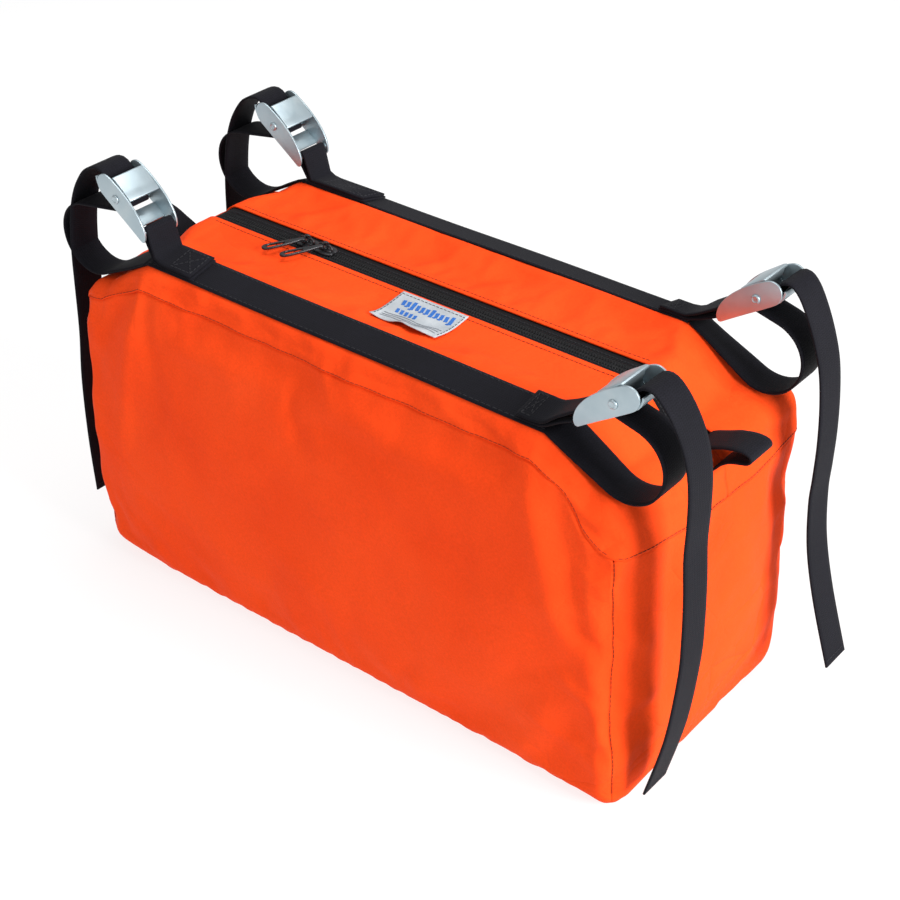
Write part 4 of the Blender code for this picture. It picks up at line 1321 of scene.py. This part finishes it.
for side, cx, mouth in (("left", -101.0, 1), ("right", -84.0, -1)):
    h = SLIDER_L / 2

    def flat(part, z_mid):
        v, f = part
        return [(cx - mouth * x, y, TZ + CHAIN_Z + z_mid + z) for x, y, z in v], f

    nose = closed_curve([(-h, -SLIDER_W * 0.30), (-h * 0.55, -SLIDER_W / 2), (h * 0.5, -SLIDER_W / 2),
                         (h, -SLIDER_W * 0.26), (h * 0.93, 0), (h, SLIDER_W * 0.26),
                         (h * 0.5, SLIDER_W / 2), (-h * 0.55, SLIDER_W / 2), (-h, SLIDER_W * 0.30)], 1.0)
    parts = [flat(profile_mesh(nose, [], 1.5, 0.5), 2.45), flat(profile_mesh(nose, [], 1.2, 0.4), -2.3)]
    for s_ in (-1, 1):
        rail = [(-h * 0.5, s_ * 4.9), (h * 0.5, s_ * 4.9), (h * 0.5, s_ * 5.75), (-h * 0.5, s_ * 5.75)]
        if s_ < 0:
            rail = rail[::-1]
        parts.append(flat(profile_mesh(rail, [], 1.5, 0.1), 1.6))
    rib = closed_curve([(-5.2, -2.2), (0, -2.7), (5.2, -2.2), (5.6, 0), (5.2, 2.2), (0, 2.7),
                        (-5.2, 2.2), (-5.6, 0)], 0.9)
    parts.append(flat(profile_mesh(rib, [], 1.2, 0.45), 3.4))
    rod_z = CHAIN_Z + 6.6
    bail = [(cx + x, 0.0, TZ + z) for x, z in
            catmull([(-6.0, CHAIN_Z + 3.0), (-5.7, CHAIN_Z + 4.8), (-4.6, rod_z - 0.1), (-3.2, rod_z + 0.15),
                     (0, rod_z + 0.15), (3.2, rod_z + 0.15), (4.6, rod_z - 0.1), (5.7, CHAIN_Z + 4.8),
                     (6.0, CHAIN_Z + 3.0)], 0.7)]
    parts.append(tube_parts(bail, 0.85, 10))
    ob = solid_object("zip_%s_slider_body" % side, parts, ENAMEL, 45.0)
    place(ob, "zip_%s_runner" % side, ["zip_slider_" + side])

    eye_z = CHAIN_Z + 6.6
    tilt = math.asin((eye_z - TOP_Z - PULL_TIP_Z) / PULL_LEN)
    d = Vector((-math.sin(PULL_YAW) * math.cos(tilt), -math.cos(PULL_YAW) * math.cos(tilt),
                -math.sin(tilt)))
    a_ = Vector((math.cos(PULL_YAW), -math.sin(PULL_YAW), 0.0))
    n = a_.cross(d)
    if n.z < 0:
        n = -n
    o = Vector((cx, 0, eye_z + TZ))
    half = [(2.3, 1.5), (6.0, 1.75), (10.0, 2.3), (15.0, 2.9), (22.0, 3.3), (28.0, 3.45), (31.3, 2.8),
            (32.9, 1.1)]
    outline = closed_curve(half + [(x, -y) for x, y in reversed(half)], 0.8)
    slot = [(16.6, 0.7), (18.5, 1.35), (23.0, 1.75), (27.8, 1.85), (29.6, 0.9)]
    slot = closed_curve(slot + [(x, -y) for x, y in reversed(slot)], 0.8)
    v, f = profile_mesh(outline, [slot], 1.7, 0.55)
    bar = [tuple(o + d * x + a_ * y + n * z) for x, y, z in v], f
    v, f = profile_mesh(circle(0, 0, 2.7, 24), [circle(0, 0, 1.75, 24)], 2.4, 0.3)
    eye = [tuple(o + d * x + n * y + a_ * z) for x, y, z in v], f
    ob = solid_object("zip_%s_pull_tab" % side, [bar, eye], ENAMEL, 45.0)
    place(ob, "zip_%s_puller" % side, ["zip_pull_" + side])


# =============================================================== label
LW, LD, LX, LY0 = 55.0, 36.0, 24.0, -12.4


def label_at(u, v, h=0.0):
    """u from -1 to 1 along the zip, v from 0 at the sewn edge to 1 at the free one."""
    x = LX + u * LW / 2 * (1 + 0.035 * v)
    y = LY0 - v * LD * (1 - 0.03 * u * u + 0.035 * math.sin(2.2 * u))
    hit, n = on_cloth((x, y, 400.0), (0, 0, -1))
    curl = (0.55 + 2.6 * v ** 2.4 * (0.55 + 0.45 * math.cos(2.6 * (u - 0.35)))
            + 0.8 * v * math.sin(5.0 * u + 0.8) * v + 0.5 * v)
    return np.array([x, y, hit.z + max(curl, 0.5) + h])


nu, nv = 36, 22
verts = [label_at(-1 + 2 * i / nu, j / nv) for i in range(nu + 1) for j in range(nv + 1)]
uvs = [((-1 + 2 * i / nu) * LW / 2 * MM, (j / nv) * LD * MM) for i in range(nu + 1) for j in range(nv + 1)]
faces = [(i * (nv + 1) + j, i * (nv + 1) + j + 1, (i + 1) * (nv + 1) + j + 1, (i + 1) * (nv + 1) + j)
         for i in range(nu) for j in range(nv)]
ob = mesh_object("label_cloth", verts, faces, LABEL_CLOTH, uvs=uvs)
md = ob.modifiers.new("thick", "SOLIDIFY")
md.thickness = 0.45 * MM
md.offset = 0.0
apply_all(ob)
outward(ob)
place(ob, "bag", ["label"])


def label_row(points):
    pts = [label_at(u, v, 0.28) for u, v in points]
    return pts, [np.array([0, 0, 1.0])] * len(pts)


edge = [(-0.95, 0.92)] + [(-0.95, v) for v in np.linspace(0.85, 0.07, 9)]
edge += [(u, 0.07) for u in np.linspace(-0.9, 0.9, 16)] + [(0.95, v) for v in np.linspace(0.07, 0.92, 10)]
place(stitches("label_stitches", [label_row(edge)], THREAD_BLACK, 2.3, 0.9, 0.24), "bag")


def label_band(points, half):
    """A flat raised mark on the label along a line of (u, v) points."""
    verts, faces = [], []
    n = len(points)
    for i, (u, v) in enumerate(points):
        u0, v0 = points[max(i - 1, 0)]
        u1, v1 = points[min(i + 1, n - 1)]
        du, dv = (u1 - u0) * LW / 2, (v1 - v0) * LD
        k = math.hypot(du, dv)
        ou, ov = -dv / k * half / (LW / 2), du / k * half / LD
        for s_, hh in ((-1, 0.2), (-1, 0.42), (1, 0.42), (1, 0.2)):
            verts.append(label_at(u + ou * s_, v + ov * s_, hh))
    for i in range(n - 1):
        for j in range(4):
            j2 = (j + 1) % 4
            faces.append((i * 4 + j, i * 4 + j2, i * 4 + 4 + j2, i * 4 + 4 + j))
    faces += [(3, 2, 1, 0), tuple((n - 1) * 4 + j for j in range(4))]
    return verts, faces


marks = []
# a generic mark: a row of leaning blue strokes of two heights, and a shorter row below it
for i in range(11):
    u = 0.78 - i * 0.145
    tall = 0.13 if i % 4 == 0 else 0.085
    marks.append(label_band([(u - 0.035, 0.30 - tall), (u, 0.30), (u + 0.03, 0.30 + tall * 0.8)], 1.25))
    if i % 3 != 1:
        marks.append(label_band([(u + 0.03, 0.30 + tall * 0.8), (u - 0.05, 0.30 + tall * 0.9)], 0.7))
for i in range(5):
    u = -0.05 - i * 0.135
    marks.append(label_band([(u - 0.025, 0.50), (u, 0.56), (u + 0.02, 0.62)], 1.1))
ob = solid_object("label_mark", marks, INK_BLUE, 40.0)
place(ob, "bag")
waves = []
for k in range(3):
    line = [(u, 0.70 + k * 0.075 + 0.035 * math.sin(6.0 * u + k * 0.6)) for u in np.linspace(-0.82, 0.86, 30)]
    waves.append(label_band(line, 0.35))
ob = solid_object("label_waves", waves, THREAD_GREY, 40.0)
place(ob, "bag")


# =============================================================== grab loops
LOOP_PATH = [(224.0, -30.4), (228.4, -28.0), (236.2, -24.9), (244.0, -21.6), (253.0, -19.4), (260.0, -19.2),
             (263.7, -20.7), (264.3, -23.4), (261.9, -26.0), (256.0, -27.7), (250.2, -29.6),
             (245.0, -33.0), (240.4, -38.2), (237.0, -41.8)]
for side, sx in (("left", -1), ("right", 1)):
    pts = [(sx * p[0], 0.0, p[1] + TZ) for p in catmull(LOOP_PATH, 1.6)]
    ac, no = path_frames(pts)
    ob = strip_mesh("grab_loop_%s_webbing" % side, pts, ac, no, WEB_W, WEB_T, BLACK)
    place(ob, "bag", ["grab_loop_" + side])

# =============================================================== stage and light
FLOOR = plain_material("floor_paint", (0.20, 0.20, 0.20), (0.22, 0.22, 0.22), (0.7, 0.8), 0.0, 3.0, 0.0,
                       spec=0.0)
glow = FLOOR.node_tree.nodes["Principled BSDF"]
glow.inputs["Emission Color"].default_value = (1.0, 1.0, 1.0, 1.0)
glow.inputs["Emission Strength"].default_value = 0.80
floor = mesh_object("floor", [(-4000, -4000, 0), (4000, -4000, 0), (4000, 4000, 0), (-4000, 4000, 0)],
                    [(0, 1, 2, 3)], FLOOR)
floor.location.z = -0.0006

SCENE.view_settings.view_transform = "Standard"
world = bpy.data.worlds.new("studio")
SCENE.world = world
world.use_nodes = True
world.node_tree.nodes["Background"].inputs["Color"].default_value = (1.0, 1.0, 1.0, 1.0)
world.node_tree.nodes["Background"].inputs["Strength"].default_value = 0.50


def area(name, at, target, size, watts, colour=(1, 1, 1)):
    lamp = bpy.data.lights.new(name, "AREA")
    lamp.shape = "RECTANGLE"
    lamp.size, lamp.size_y = size
    lamp.energy = watts
    lamp.color = colour
    ob = bpy.data.objects.new(name, lamp)
    ob.location = at
    ob.rotation_mode = "QUATERNION"
    ob.rotation_quaternion = (Vector(target) - Vector(at)).to_track_quat("-Z", "Y")
    SCENE.collection.objects.link(ob)
    return ob


area("key_right", (2.1, 0.02, 1.0), (0, 0, 0.15), (1.0, 1.0), 76)
area("top_soft", (-0.2, 0.4, 2.0), (0, 0, 0.2), (1.6, 1.0), 20)
area("front_fill", (1.0, -2.2, 1.7), (0, 0, 0.15), (0.9, 0.8), 13)
